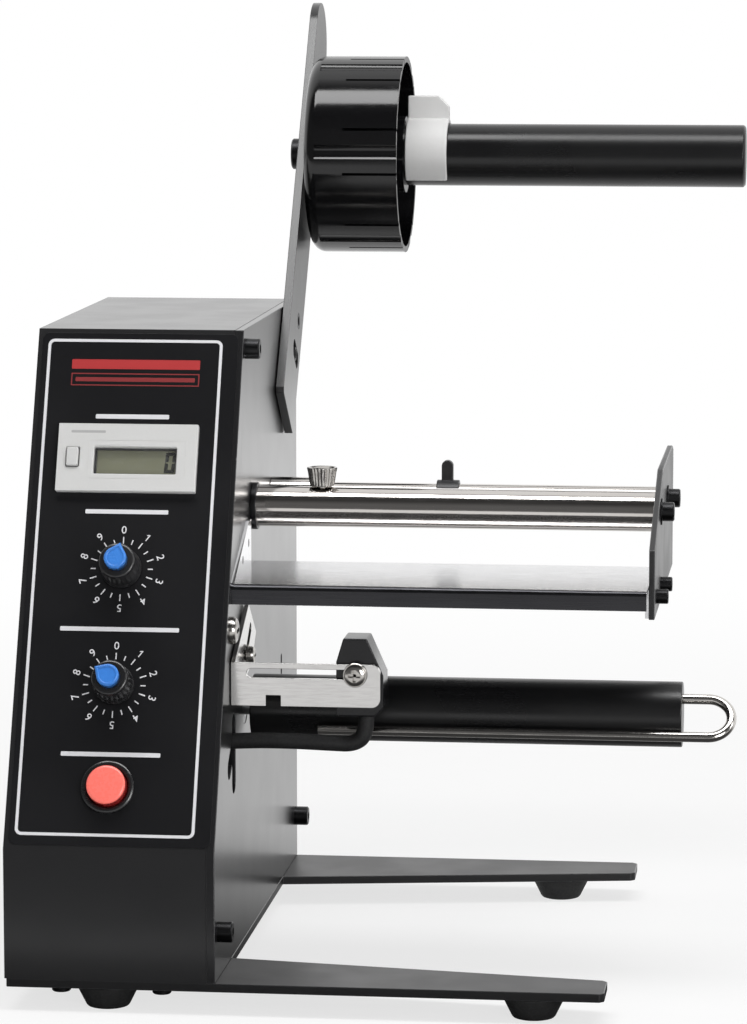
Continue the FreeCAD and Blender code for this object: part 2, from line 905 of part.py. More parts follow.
def base_plate():
    back = size.case_deep - size.base_inset
    tip = size.leg_reach - size.leg_corner
    outline = [
        (size.base_inset - size.case_wide, size.base_inset),
        (tip, size.base_inset),
        (size.leg_reach, size.base_inset + size.leg_corner),
        (size.leg_reach, size.leg_tip - size.leg_corner),
        (tip, size.leg_tip),
        (0, size.leg_root),
        (0, back - size.rear_leg_root),
        (tip, back - size.rear_leg_tip),
        (size.leg_reach, back - size.rear_leg_tip + size.leg_corner),
        (size.leg_reach, back - size.leg_corner),
        (tip, back),
        (size.base_inset - size.case_wide, back),
    ]
    holes = [(x, y, size.base_shank + size.screw_gap) for x, y in base_screw_spots]
    node("base_plate", plate("XY_Plane", size.foot_tall, size.base_thick, [outline], holes))


def fastened_base():
    feet = [cone(size.foot_base, size.foot_top, size.foot_tall, (x, y, 0)) for x, y in (
        (-size.foot_left, size.foot_inset),
        (-size.foot_left, size.case_deep - size.foot_inset),
        (size.foot_right, size.foot_inset),
        (size.rear_foot_right, size.case_deep - size.foot_inset))]
    node("rubber_feet", group(*feet))
    node("base_screws", group(*[
        screw(size.base_head, size.base_head_tall, size.base_shank, size.base_reach,
              (x, y, size.foot_tall), "-z")
        for x, y in base_screw_spots]))
    node("side_screws", group(*[
        screw(size.side_head, size.side_head_tall, size.side_shank, size.side_reach,
              (0, y, z), "x")
        for y, z in side_screw_spots]))


# Counter

def counter():
    face = panel_box(-size.counter_x, size.counter_rise, size.counter_wide, size.counter_tall,
                     size.label_thick, size.label_thick + size.counter_proud)
    neck = panel_box(-size.counter_x, size.counter_rise, size.counter_neck_wide, size.counter_neck_tall,
                     -size.counter_deep, size.label_thick)
    front = size.label_thick + size.counter_proud
    window = (size.window_right - size.counter_x, size.counter_rise - size.window_drop)
    key = (-size.counter_x - size.key_left, size.counter_rise)
    recess = panel_box(*window, size.window_wide, size.window_tall,
                       front - size.window_deep, front + size.overrun)
    well = panel_box(*key, size.key_wide + size.body_gap * 2, size.key_tall + size.body_gap * 2,
                     front - size.key_deep, front + size.overrun)
    node("counter_case", cut(fuse(face, neck), recess, well))
    node("counter_lens", panel_box(*window, size.window_wide, size.window_tall,
                                   front - size.lens_sink - size.lens_thick, front - size.lens_sink))
    node("counter_display", panel_box(*window, size.window_wide, size.window_tall, front - size.window_deep,
                                      front - size.window_deep + size.display_thick))
    node("counter_key", panel_box(*key, size.key_wide, size.key_tall,
                                  front - size.key_deep + size.body_gap + size.key_travel,
                                  front + size.key_proud))


# Dials

def dial(name, rise, turn):
    """A knob with its pointer cap on the spindle of a rotary control behind the panel."""
    spot = on_panel(-size.dial_x, rise, 0)
    floor = size.label_thick + size.knob_float
    top = floor + size.knob_tall
    skirt = cone(size.knob_radius, size.knob_top_radius, size.knob_tall,
                 along(spot, "panel", floor), "panel")
    hollow = cylinder(size.knob_hollow, size.knob_hollow_deep + size.overrun,
                      along(spot, "panel", floor - size.overrun), "panel")
    bore = cylinder(size.spindle_radius, size.spindle_tall, spot, "panel")
    node(f"{name}_knob", cut(skirt, hollow, bore))

    reach = root(size.cap_tip * size.cap_tip - size.cap_radius * size.cap_radius)
    side = size.cap_radius * reach / size.cap_tip
    shoulder = size.cap_radius * size.cap_radius / size.cap_tip
    teardrop = [(0, size.cap_tip), (-side, shoulder, 0, -size.cap_radius), (side, shoulder)]
    node(f"{name}_cap", plate(
        "XY_Plane", top, size.cap_tall, [teardrop], spot=spot, way="panel", turn=turn))

    node(f"{name}_shaft", cylinder(
        size.spindle_radius, size.spindle_back + size.spindle_tall,
        along(spot, "panel", -size.spindle_back), "panel"))
    case = cylinder(size.pot_radius, size.pot_deep,
                    along(spot, "panel", -size.cover_wall - size.pot_deep), "panel")
    neck = cylinder(size.neck_radius, size.neck_tall + size.cover_wall,
                    along(spot, "panel", -size.cover_wall), "panel")
    spindle_hole = cylinder(
        size.spindle_radius + size.running_gap, size.spindle_back + size.neck_tall + size.overrun,
        along(spot, "panel", -size.spindle_back - size.running_gap), "panel")
    node(f"{name}_pot", cut(fuse(case, neck), spindle_hole))
    low = along(spot, "panel", size.label_thick)
    return cut(prism(SOCKET_SIDES, size.nut_radius, size.nut_tall, low, "panel"),
               cylinder(size.neck_radius, size.nut_tall + size.overrun, low, "panel"))


def dials():
    nuts = [
        dial("length", length_rise, -size.length_turn),
        dial("speed", speed_rise, -size.speed_turn),
    ]
    node("dial_nuts", group(*nuts))


# Power button

def power():
    spot = on_panel(-size.power_x, power_rise, 0)
    ring = cylinder(size.bezel_radius, size.bezel_proud, along(spot, "panel", size.label_thick), "panel")
    neck = cylinder(size.bezel_neck, size.bezel_deep + size.label_thick,
                    along(spot, "panel", -size.bezel_deep), "panel")
    bore = cylinder(size.button_radius + size.body_gap,
                    size.bezel_deep + size.bezel_proud + size.overrun * 2,
                    along(spot, "panel", -size.bezel_deep - size.overrun), "panel")
    node("power_bezel", cut(fuse(ring, neck), bore))
    node("power_button", cylinder(
        size.button_radius, size.button_proud + size.button_deep,
        along(spot, "panel", -size.button_deep), "panel"))
    node("power_switch", panel_box(
        -size.power_x, power_rise, size.switch_half * 2, size.switch_half * 2,
        -size.bezel_deep - size.switch_deep, -size.bezel_deep))


# Supply arm with its rod, hub and clip

def supply_arm():
    front = -size.arm_set - size.arm_half
    back = size.arm_half - size.arm_set
    low = -size.arm_below
    outline = [
        (front + size.arm_corner, low),
        (back - size.arm_corner, low),
        (back, low + size.arm_corner),
        (back, size.arm_top, -size.arm_set, size.arm_top + size.arm_half),
        (front, size.arm_top),
        (front, low + size.arm_corner),
    ]
    circles = [
        (0, 0, size.pivot_radius + size.running_gap),
        (-size.arm_set, size.rod_along, size.rod_bolt_shank + size.screw_gap),
    ]
    slot_end = size.stop_slot_run / 2
    slot = ((-slot_end, -size.stop_drop), (slot_end, -size.stop_drop), size.stop_slot)
    node("supply_arm", plate(
        "YZ_Plane", arm_left, size.arm_thick, [outline], circles, [slot],
        (0, pivot_y, pivot_z), "arm"))
    head = cover_right - size.arm_screw_head_tall
    screws = [
        fuse(cylinder(size.arm_screw_head, size.arm_screw_head_tall, (head, y, z), "x"),
             cylinder(radius, arm_right - cover_right, (cover_right, y, z), "x"))
        for y, z, radius in ((pivot_y, pivot_z, size.pivot_radius), (stop_y, stop_z, size.stop_radius))]
    node("arm_screws", group(*screws))


def supply_side():
    bolt = screw(size.rod_bolt_head, size.rod_bolt_tall, size.rod_bolt_shank, size.rod_bolt_reach,
                 (arm_left, rod_y, rod_z), "-x")
    node("rod_bolt", bolt)
    rod = chamfered_rod(size.supply_radius, arm_right, size.supply_reach, size.rod_corner, rod_y, rod_z)
    node("supply_rod", cut(rod, cylinder(
        size.rod_bolt_shank + size.screw_gap, size.rod_bolt_reach, (arm_left, rod_y, rod_z), "x")))
    node("supply_hub", coded(hub_shape(), (arm_right + size.hub_gap, rod_y, rod_z)))

    bore = size.supply_radius + size.running_gap
    spot = (size.clip_start, rod_y, rod_z)
    ring = cylinder(size.clip_radius, size.clip_long, spot, "x")
    wedge = box(size.clip_long + size.overrun * 2, size.clip_radius * 2, size.clip_radius * 2,
                (size.clip_start - size.overrun, rod_y, rod_z), "z")
    wedge.Placement = FreeCAD.Placement(
        FreeCAD.Vector(), FreeCAD.Rotation(FreeCAD.Vector(1, 0, 0), CLIP_OPENING_ANGLE))
    right = size.clip_start + size.clip_long
    top = rod_z + size.clip_top
    tab = plate("XZ_Plane", -size.clip_tab / 2, size.clip_tab, [[
        (size.clip_start, rod_z + size.supply_radius),
        (right, rod_z + size.supply_radius),
        (right, top - size.clip_corner),
        (right - size.clip_corner, top),
        (size.clip_start, top)]], spot=(0, rod_y, 0))
    hole = cylinder(bore, size.clip_long + size.overrun * 2,
                    (size.clip_start - size.overrun, rod_y, rod_z), "x")
    node("rod_clip", cut(fuse(ring, tab), hole, wedge))


def hub_shape():
    """A thin drum on a sleeve: closed on the left, open on the right, grooved and slit along its wall."""
    long = size.hub_long.value
    outer = size.hub_radius.value
    inner = outer - size.hub_wall.value
    bend = size.hub_corner.value
    face = size.hub_face.value
    sleeve = size.hub_sleeve.value
    bore = (size.supply_radius + size.running_gap).value
    middle = bend * (1 - math.sqrt(0.5))
    inner_bend = bend - (outer - inner)
    inner_middle = inner_bend * (1 - math.sqrt(0.5))

    def at(x, radius):
        return FreeCAD.Vector(x, 0, radius)

    edges = [
        Part.LineSegment(at(0, bore), at(0, outer - bend)),
        Part.Arc(at(0, outer - bend), at(middle, outer - middle), at(bend, outer)),
        Part.LineSegment(at(bend, outer), at(long, outer)),
        Part.LineSegment(at(long, outer), at(long, inner)),
        Part.LineSegment(at(long, inner), at(face + inner_bend, inner)),
        Part.Arc(at(face + inner_bend, inner), at(face + inner_middle, inner - inner_middle),
                 at(face, inner - inner_bend)),
        Part.LineSegment(at(face, inner - inner_bend), at(face, sleeve)),
        Part.LineSegment(at(face, sleeve), at(long, sleeve)),
        Part.LineSegment(at(long, sleeve), at(long, bore)),
        Part.LineSegment(at(long, bore), at(0, bore)),
    ]
    wire = Part.Wire([edge.toShape() for edge in edges])
    axis = FreeCAD.Vector(1, 0, 0)
    drum = Part.Face(wire).revolve(FreeCAD.Vector(), axis, 360)
    spare = size.overrun.value
    web = size.hub_web.value
    webs = []
    cuts = []
    wall = size.hub_wall.value
    start = size.flute_start.value
    step = 360 / HUB_FLUTES
    for number in range(HUB_FLUTES):
        turn = FIRST_FLUTE_ANGLE + step * number
        plank = Part.makeBox(
            size.hub_web_long.value - face, web, inner - sleeve + wall,
            FreeCAD.Vector(face, -web / 2, sleeve - wall / 2))
        plank.rotate(FreeCAD.Vector(), axis, turn + step / 2)
        webs.append(plank)
        groove = Part.makeCylinder(
            size.flute_radius.value, long - start + spare,
            FreeCAD.Vector(start, 0, outer + size.flute_radius.value - size.flute_deep.value), axis)
        groove.rotate(FreeCAD.Vector(), axis, turn)
        cuts.append(groove)
        for side in (-1, 1):
            slit = Part.makeBox(
                size.slit_long.value + spare, size.slit_wide.value, 2 * wall + 2 * spare,
                FreeCAD.Vector(long - size.slit_long.value, -size.slit_wide.value / 2, inner - wall - spare))
            slit.rotate(FreeCAD.Vector(), axis, turn + side * SLIT_ANGLE)
            cuts.append(slit)
    return drum.multiFuse(webs).cut(cuts).removeSplitter().Solids[0]


# Label path

def rods():
    bore = size.rod_screw_shank + size.screw_gap
    front = cylinder(size.front_rod_radius, size.path_long, (0, size.front_rod_y, front_rod_z), "x")
    deep = size.rod_screw_reach - size.plate_thick + size.screw_gap
    thumb_hole = cylinder(
        size.thumb_shank + size.running_gap, size.front_rod_radius + size.thumb_reach,
        (size.thumb_x, size.front_rod_y, front_rod_z + size.front_rod_radius - size.thumb_reach))
    end_deep = size.rod_screw_reach - size.end_thick + size.screw_gap
    node("front_rod", cut(
        front, thumb_hole,
        cylinder(bore, deep, (0, size.front_rod_y, front_rod_z), "x"),
        cylinder(bore, end_deep, (size.path_long, size.front_rod_y, front_rod_z), "-x")))
    rear_bore = size.rear_screw_shank + size.screw_gap
    node("rear_rod", cut(
        cylinder(size.rear_rod_radius, size.path_long, (0, size.rear_rod_y, rear_rod_z), "x"),
        cylinder(rear_bore, deep, (0, size.rear_rod_y, rear_rod_z), "x"),
        cylinder(rear_bore, end_deep, (size.path_long, size.rear_rod_y, rear_rod_z), "-x")))
    node("rod_ring", washer(
        size.ring_radius, size.front_rod_radius, size.ring_thick, (0, size.front_rod_y, front_rod_z), "x"))
    node("rear_collar", washer(
        size.collar_radius, size.rear_rod_radius, size.collar_long, (0, size.rear_rod_y, rear_rod_z), "x"))
    node("rod_screws", group(*[
        screw(size.rod_screw_head, size.rod_screw_tall, shank, size.rod_screw_reach,
              (cover_right, y, z), "-x")
        for y, z, shank in (
            (size.front_rod_y, front_rod_z, size.rod_screw_shank),
            (size.rear_rod_y, rear_rod_z, size.rear_screw_shank))]))

    fin_left = size.guide_start + size.fin_start
    fin_high = rear_rod_z + size.fin_top - size.fin_wide / 2
    collar = cylinder(size.guide_radius, size.guide_long,
                      (size.guide_start, size.rear_rod_y, rear_rod_z), "x")
    fin = box(size.fin_wide, size.fin_thick, fin_high - rear_rod_z,
              (fin_left, size.rear_rod_y - size.fin_thick / 2, rear_rod_z))
    crown = cylinder(size.fin_wide / 2, size.fin_thick,
                     (fin_left + size.fin_wide / 2, size.rear_rod_y - size.fin_thick / 2, fin_high), "y")
    hole = cylinder(size.rear_rod_radius + size.running_gap, size.guide_long + size.overrun * 2,
                    (size.guide_start - size.overrun, size.rear_rod_y, rear_rod_z), "x")
    node("edge_guide", cut(fuse(collar, fin, crown), hole))

    top = front_rod_z + size.front_rod_radius + size.body_gap
    spot = (size.thumb_x, size.front_rod_y, top)
    node("thumb_screw", fuse(
        prism(THUMB_SIDES, size.thumb_radius, size.thumb_tall, spot),
        cylinder(size.thumb_shank, size.thumb_reach, along(spot, "-z", size.thumb_reach))))


def end_plate():
    low = peel_top - size.end_low
    outline = [
        (size.end_front, low),
        (size.end_back, low),
        (size.end_back, peel_top + size.end_top - size.end_corner_drop),
        (size.end_back - size.end_corner, peel_top + size.end_top),
        (size.end_front + size.end_shoulder, peel_top + size.end_top),
        (size.end_front, peel_top + size.end_front_tall),
    ]
    small_z = peel_top - size.small_drop
    circles = [
        (size.front_rod_y, front_rod_z, size.rod_screw_shank + size.screw_gap),
        (size.rear_rod_y, rear_rod_z, size.rear_screw_shank + size.screw_gap),
        (size.small_front, small_z, size.small_shank + size.screw_gap),
        (size.small_back, small_z, size.small_shank + size.screw_gap),
    ]
    node("end_plate", plate("YZ_Plane", size.path_long, size.end_thick, [outline], circles))
    washed = end_right + size.washer_thick
    bolts = [
        screw(size.end_head, size.end_head_tall, shank, size.rod_screw_reach,
              (washed, y, z), "x")
        for y, z, shank in (
            (size.front_rod_y, front_rod_z, size.rod_screw_shank),
            (size.rear_rod_y, rear_rod_z, size.rear_screw_shank))]
    bolts += [
        screw(size.small_head, size.small_head_tall, size.small_shank,
              size.end_thick + size.peel_thick, (end_right, y, small_z), "x")
        for y in (size.small_front, size.small_back)]
    node("end_bolts", group(*bolts))
    node("end_washers", group(*[
        washer(size.washer_radius, shank, size.washer_thick, (end_right, y, z), "x")
        for y, z, shank in (
            (size.front_rod_y, front_rod_z, size.rod_screw_shank),
            (size.rear_rod_y, rear_rod_z, size.rear_screw_shank))]))


def peel_plate():
    sheet_low = peel_top - size.peel_thick
    back = size.peel_front + size.peel_deep
    top = box(size.path_long, size.peel_deep, size.peel_thick, (0, size.peel_front, sheet_low))
    lip = box(size.path_long, size.peel_thick, size.peel_lip, (0, size.peel_front, peel_top - size.peel_lip))
    right = box(size.peel_thick, size.peel_deep - size.peel_right_front, size.peel_right_drop,
                (size.path_long - size.peel_thick, size.peel_front + size.peel_right_front,
                 peel_top - size.peel_right_drop))
    flange = plate("YZ_Plane", 0, size.peel_thick, [[
        (size.peel_front, sheet_low),
        (size.peel_front + size.peel_flange_back, sheet_low),
        (size.peel_front + size.peel_flange_back, peel_top + size.peel_flange_top),
        (size.peel_front + size.peel_flange_peak, peel_top + size.peel_flange_top),
        (size.peel_front, peel_top)]],
        [(y, z, size.peel_screw_shank) for y, z in peel_screw_spots])
    small_z = peel_top - size.small_drop
    holes = [
        cylinder(size.small_shank, size.peel_thick + size.overrun,
                 (size.path_long - size.peel_thick - size.overrun, y, small_z), "x")
        for y in (size.small_front, size.small_back)]
    node("peel_plate", cut(fuse(top, lip, right, flange), *holes))
    node("peel_screws", group(*[
        screw(size.peel_screw_head, size.peel_screw_tall, size.peel_screw_shank,
              size.plate_thick + size.peel_thick, (cover_right, y, z), "-x")
        for y, z in peel_screw_spots]))


# Label sensor

def terminal():
    node("terminal_screw", screw(
        size.terminal_head, size.terminal_head_tall, size.terminal_shank, size.terminal_reach,
        (0, size.terminal_y, terminal_z), "x", socket=False))
    block = box(size.terminal_deep, size.terminal_half * 2, size.terminal_half * 2,
                (cover_right - size.terminal_deep, size.terminal_y - size.terminal_half,
                 terminal_z - size.terminal_half))
    node("terminal_block", cut(block, cylinder(
        size.terminal_shank + size.screw_gap, size.terminal_reach,
        (-size.terminal_reach - size.screw_gap, size.terminal_y, terminal_z), "x")))


def sensor_bracket():
    low = base_top + size.bracket_low
    high = low + size.bracket_tall
    left = size.body_gap
    right = size.bracket_long + left
    bend = size.bracket_corner * (1 - math.sqrt(0.5))
    front = [
        (left, low),
        (size.bracket_notch, low),
        (size.bracket_notch, low + size.bracket_notch_tall),
        (size.bracket_notch + size.bracket_notch_wide, low + size.bracket_notch_tall),
        (size.bracket_notch + size.bracket_notch_wide, low),
        (right - size.bracket_corner, low, right - bend, low + bend),
        (right, low + size.bracket_corner),
        (right, high - size.bracket_corner, right - bend, high - bend),
        (right - size.bracket_corner, high),
        (left, high),
    ]
    slot_z = low + size.bracket_slot_rise
    slot = ((size.bracket_slot_left + size.bracket_slot_half, slot_z),
            (size.bracket_slot_right, slot_z), size.bracket_slot_half)
    face = plate("XZ_Plane", 0, size.bracket_sheet, [front], slots=[slot],
                 spot=(0, size.bracket_front + size.bracket_sheet, 0))
    flange = plate("YZ_Plane", left, size.bracket_sheet, [[
        (size.bracket_front, low),
        (size.flange_heel_y, base_top + size.flange_heel),
        (size.flange_back_y, base_top + size.flange_back),
        (size.flange_peak_y, base_top + size.flange_peak),
        (size.bracket_front, high)]],
        slots=[((bracket_screw_y, bracket_screw_z), slot_far, size.flange_slot_half)])
    node("sensor_bracket", fuse(face, flange))
    seat = left + size.bracket_sheet + size.body_gap
    shank_reach = seat + size.bracket_washer_thick + size.plate_thick
    solid = screw(
        size.bracket_screw_head, size.bracket_screw_tall, size.bracket_screw_shank, shank_reach,
        (seat + size.bracket_washer_thick, bracket_screw_y, bracket_screw_z), "x", socket=False)
    ring = washer(size.bracket_washer, size.bracket_screw_shank, size.bracket_washer_thick,
                  (seat, bracket_screw_y, bracket_screw_z), "x")
    node("bracket_screw", group(solid, ring))


def sensor():
    low = base_top + size.sensor_low
    front = size.bracket_front + size.bracket_sheet + size.body_gap
    outline = [
        (size.sensor_left, low),
        (size.sensor_right - size.sensor_low_corner, low),
        (size.sensor_right, low + size.sensor_low_corner),
        (size.sensor_right, base_top + size.sensor_cheek),
        (size.sensor_top_right, base_top + size.sensor_top),
        (size.sensor_top_left, base_top + size.sensor_top),
        (size.sensor_left, base_top + size.sensor_shoulder),
    ]
    body = plate("XZ_Plane", 0, size.sensor_deep, [outline], spot=(0, front + size.sensor_deep, 0))
    screw_z = base_top + size.bracket_low + size.bracket_slot_rise
    hole = cylinder(size.sensor_screw_shank, size.sensor_screw_reach,
                    (size.sensor_screw_x, front, screw_z), "y")
    seat = size.bracket_front - size.body_gap - size.sensor_washer_thick
    reach = size.sensor_screw_reach - size.screw_gap + front - seat
    deep = size.bracket_front - size.body_gap
    node("sensor_head", cut(body, hole))
    solid = screw(size.sensor_screw_head, size.sensor_screw_tall, size.sensor_screw_shank, reach,
                  (size.sensor_screw_x, seat, screw_z), "-y", socket=False)
    ring = washer(size.sensor_washer, size.sensor_screw_shank, size.sensor_washer_thick,
                  (size.sensor_screw_x, deep, screw_z), "-y")
    node("sensor_screw", group(solid, ring))


# The cable leaves the sensor head downwards, turns to the side plate and passes its slot.
CABLE_RADIUS = 2.75
CABLE_POINTS = [
    (45.3, 45.2, 95),
    (45.3, 45.2, 87.9),
    (41.2, 45.2, 84.3),
    (33, 45, 84.6),
    (18, 45, 85.1),
    (3, 45, 84.9),
    (-9, 45, 83.9),
]


def cable_shape(points, radius):
    """A tube of straight runs joined by tangent arcs."""
    spots = [FreeCAD.Vector(*point) for point in points]
    edges = []
    start = spots[0]
    length = 0
    for before, here, after in zip(spots, spots[1:], spots[2:]):
        coming = here - before
        going = after - here
        half_turn = coming.getAngle(going) / 2
        tangent = BEND_SHARE * min(coming.Length, going.Length)
        bend = tangent / math.tan(half_turn)
        print(f"sensor cable bend radius {bend:.1f} mm, {bend / (2 * radius):.1f} diameters")
        first = here - coming.normalize() * tangent
        last = here + going.normalize() * tangent
        towards = (first + last) * 0.5 - here
        middle = here + towards.normalize() * (bend / math.cos(half_turn) - bend)
        edges += [Part.LineSegment(start, first), Part.Arc(first, middle, last)]
        length += (first - start).Length + 2 * half_turn * bend
        start = last
    edges.append(Part.LineSegment(start, spots[-1]))
    length += (spots[-1] - start).Length
    path = Part.Wire([edge.toShape() for edge in edges])
    ring = Part.Wire([Part.Circle(spots[0], spots[1] - spots[0], radius).toShape()])
    tube = path.makePipeShell([ring], True, False)
    expected = math.pi * radius ** 2 * length
    print(f"sensor cable length {length:.1f} mm, volume {tube.Volume:.1f} of {expected:.1f} mm3")
    return tube


# Roller, wire clip and drive

def drive():
    bore = size.shaft_radius
    roller = cylinder(size.roller_radius, roller_end - size.roller_start,
                      (size.roller_start, size.roller_y, roller_z), "x")
    shaft_hole = cylinder(bore, size.shaft_in, (size.roller_start, size.roller_y, roller_z), "x")
    wire_hole = cylinder(size.wire_radius + size.running_gap, roller_end - size.wire_bore_end,
                         (size.wire_bore_end, *wire_inner), "x")
    node("roller", cut(roller, shaft_hole, wire_hole))
    node("wire_clip", coded(wire_shape()))
    shaft_left = gearbox_left + size.gearbox_wall + size.body_gap
    node("output_shaft", cylinder(size.shaft_radius, size.roller_start + size.shaft_in - shaft_left,
                                  (shaft_left, size.roller_y, roller_z), "x"))
    gear_left = (gearbox_left + cover_right - size.gear_wide) / 2
    node("output_gear", coded(
        gear_shape(size.gear_teeth.value, 0, size.shaft_radius.value), (gear_left, size.roller_y, roller_z)))
    pinion_turn = math.pi + math.pi / size.pinion_teeth.value
    pinion = coded(gear_shape(size.pinion_teeth.value, pinion_turn, 0), (gear_left, pinion_y, roller_z))
    stem = cylinder(size.motor_shaft, gear_left - gearbox_left + size.motor_shaft_in,
                    (gearbox_left - size.motor_shaft_in, pinion_y, roller_z), "x")
    node("motor_pinion", fuse(pinion, stem))
    motor = cylinder(size.motor_radius, size.motor_long,
                     (gearbox_left - size.motor_long, pinion_y, roller_z), "x")
    node("motor_can", cut(motor, cylinder(
        size.motor_shaft + size.running_gap, size.motor_shaft_in + size.body_gap,
        (gearbox_left, pinion_y, roller_z), "-x")))
    node("gearbox_case", gearbox_case())
    node("gearbox_screws", group(*[
        screw(size.gearbox_screw_head, size.gearbox_screw_tall, size.gearbox_screw_shank,
              size.gearbox_ear + size.plate_thick - size.gearbox_screw_tip,
              (cover_right - size.gearbox_ear, y, z), "-x")
        for y, z in gearbox_screw_spots]))


def gearbox_case():
    wall = size.gearbox_wall
    low = roller_z - gearbox_half
    outer = box(size.gearbox_deep, gearbox_back - gearbox_front, gearbox_half * 2,
                (gearbox_left, gearbox_front, low))
    inner = box(size.gearbox_deep - wall * 2, gearbox_back - gearbox_front - wall * 2,
                gearbox_half * 2 - wall * 2,
                (gearbox_left + wall, gearbox_front + wall, low + wall))
    ears = [
        box(size.gearbox_ear, size.gearbox_ear, size.gearbox_ear,
            (cover_right - size.gearbox_ear, y - size.gearbox_ear / 2, z - size.gearbox_ear / 2))
        for y, z in gearbox_screw_spots]
    boss = cylinder(size.boss_radius, size.plate_thick - size.boss_sink,
                    (cover_right, size.roller_y, roller_z), "x")
    holes = [
        cylinder(size.gearbox_screw_shank + size.screw_gap, size.gearbox_ear + size.overrun * 2,
                 (cover_right - size.gearbox_ear - size.overrun, y, z), "x")
        for y, z in gearbox_screw_spots]
    holes.append(cylinder(size.shaft_radius + size.running_gap, wall + size.plate_thick + size.overrun * 2,
                          (cover_right - wall - size.overrun, size.roller_y, roller_z), "x"))
    holes.append(cylinder(size.motor_shaft + size.running_gap, wall + size.overrun * 2,
                          (gearbox_left - size.overrun, pinion_y, roller_z), "x"))
    return cut(fuse(cut(outer, inner), *ears, boss), *holes)


def wire_spot(turn, radius):
    return size.roller_y + radius * cos(turn), roller_z + radius * sin(turn)


wire_outer = wire_spot(size.wire_outer_turn, size.roller_radius + size.wire_radius + size.body_gap)
wire_inner = wire_spot(size.wire_inner_turn, size.wire_inner_radius)


def wire_shape():
    """One wire bent to a U: its inner leg lies in the roller, its outer leg along it."""
    outer = FreeCAD.Vector(size.wire_start.value, wire_outer[0].value, wire_outer[1].value)
    inner = FreeCAD.Vector(size.wire_start.value, wire_inner[0].value, wire_inner[1].value)
    bend = (outer - inner).Length / 2
    reach = FreeCAD.Vector((size.wire_reach - size.wire_radius - size.wire_start).value - bend, 0, 0)
    tip = (outer + inner) * 0.5 + reach + FreeCAD.Vector(bend, 0, 0)
    path = Part.Wire([edge.toShape() for edge in (
        Part.LineSegment(inner, inner + reach),
        Part.Arc(inner + reach, tip, outer + reach),
        Part.LineSegment(outer + reach, outer),
    )])
    ring = Part.Wire([Part.Circle(inner, FreeCAD.Vector(1, 0, 0), size.wire_radius.value).toShape()])
    return path.makePipeShell([ring], True, False)


def gear_shape(teeth, turn, bore):
    """A spur gear along x about its own centre, with its first tooth at the angle turn from y."""
    module = size.gear_module.value
    pitch = module * teeth / 2
    pressure = math.radians(PRESSURE_ANGLE)
    base = pitch * math.cos(pressure)
    tip = pitch + TOOTH_TIP_SHARE * module
    low = pitch - TOOTH_ROOT_SHARE * module

    def half_angle(radius):
        slope = math.acos(min(base / radius, 1))
        rolled = math.tan(slope) - slope
        wide = math.pi / (2 * teeth) + math.tan(pressure) - pressure
        return wide - rolled - size.gear_backlash.value / pitch

    radii = [low + (tip - low) * step / FLANK_STEPS for step in range(FLANK_STEPS + 1)]
    points = []
    for tooth in range(int(teeth)):
        middle = turn + 2 * math.pi * tooth / teeth
        flank = [(radius, half_angle(radius)) for radius in radii]
        for radius, angle in [(radius, -angle) for radius, angle in flank] + flank[::-1]:
            spot = middle + angle
            points.append(FreeCAD.Vector(0, radius * math.cos(spot), radius * math.sin(spot)))
    face = Part.Face(Part.makePolygon(points + points[:1]))
    wide = FreeCAD.Vector(size.gear_wide.value, 0, 0)
    gear = face.extrude(wide)
    if bore:
        gear = gear.cut(Part.makeCylinder(bore, wide.x, FreeCAD.Vector(), FreeCAD.Vector(1, 0, 0)))
    return gear


# Electrical parts inside

def electrics():
    post_x = inner_left + size.post_long
    front = size.board_back - size.board_deep
    low = base_top + size.board_low
    board = box(size.board_thick, size.board_deep, size.board_tall, (post_x, front, low))
    corners = [
        (front + inset_y, low + inset_z)
        for inset_y in (size.post_inset, size.board_deep - size.post_inset)
        for inset_z in (size.post_inset, size.board_tall - size.post_inset)]
    posts = [cylinder(size.post_radius, size.post_long, (inner_left, y, z), "x") for y, z in corners]
    face = post_x + size.board_thick
    relay_y = front + size.relay_front
    relay_z = low + size.relay_rise
    relays = [
        box(size.relay_thick, size.relay_deep, size.relay_tall, (face, y, relay_z))
        for y in (relay_y, relay_y + size.relay_deep + size.relay_gap)]
    heatsink = box(size.heatsink_thick, size.heatsink_deep, size.relay_tall,
                   (face, relay_y, low + size.heatsink_rise))
    node("circuit_board", group(board, *posts, *relays, heatsink))
    core = box(size.core_wide, size.core_deep, size.core_tall,
               (-size.core_left, size.core_back - size.core_deep, base_top))
    coil = box(size.core_wide - size.coil_margin * 2, size.core_deep + size.coil_proud * 2,
               size.core_tall - size.coil_margin * 2,
               (-size.core_left + size.coil_margin, size.core_back - size.core_deep - size.coil_proud,
                base_top + size.coil_margin))
    node("transformer", fuse(core, coil))
    flange = size.inlet_flange
    body = box(size.inlet_wide, size.inlet_deep, size.inlet_tall,
               (inlet_left, size.case_deep - size.inlet_deep, inlet_low))
    rim = box(size.inlet_wide + flange * 2, size.inlet_flange_thick, size.inlet_tall + flange * 2,
              (inlet_left - flange, size.case_deep, inlet_low - flange))
    mouth = box(size.inlet_mouth_wide, size.inlet_deep, size.inlet_mouth_tall,
                (inlet_left + (size.inlet_wide - size.inlet_mouth_wide) / 2,
                 size.case_deep - size.inlet_deep / 2,
                 inlet_low + (size.inlet_tall - size.inlet_mouth_tall) / 2))
    node("power_inlet", cut(fuse(body, rim), mouth))


side_plate()
cover_shell()
control_label()
base_plate()
fastened_base()
counter()
dials()
power()
supply_arm()
supply_side()
rods()
end_plate()
peel_plate()
terminal()
sensor_bracket()
sensor()
node("sensor_cable", coded(cable_shape(CABLE_POINTS, CABLE_RADIUS)))
drive()
electrics()

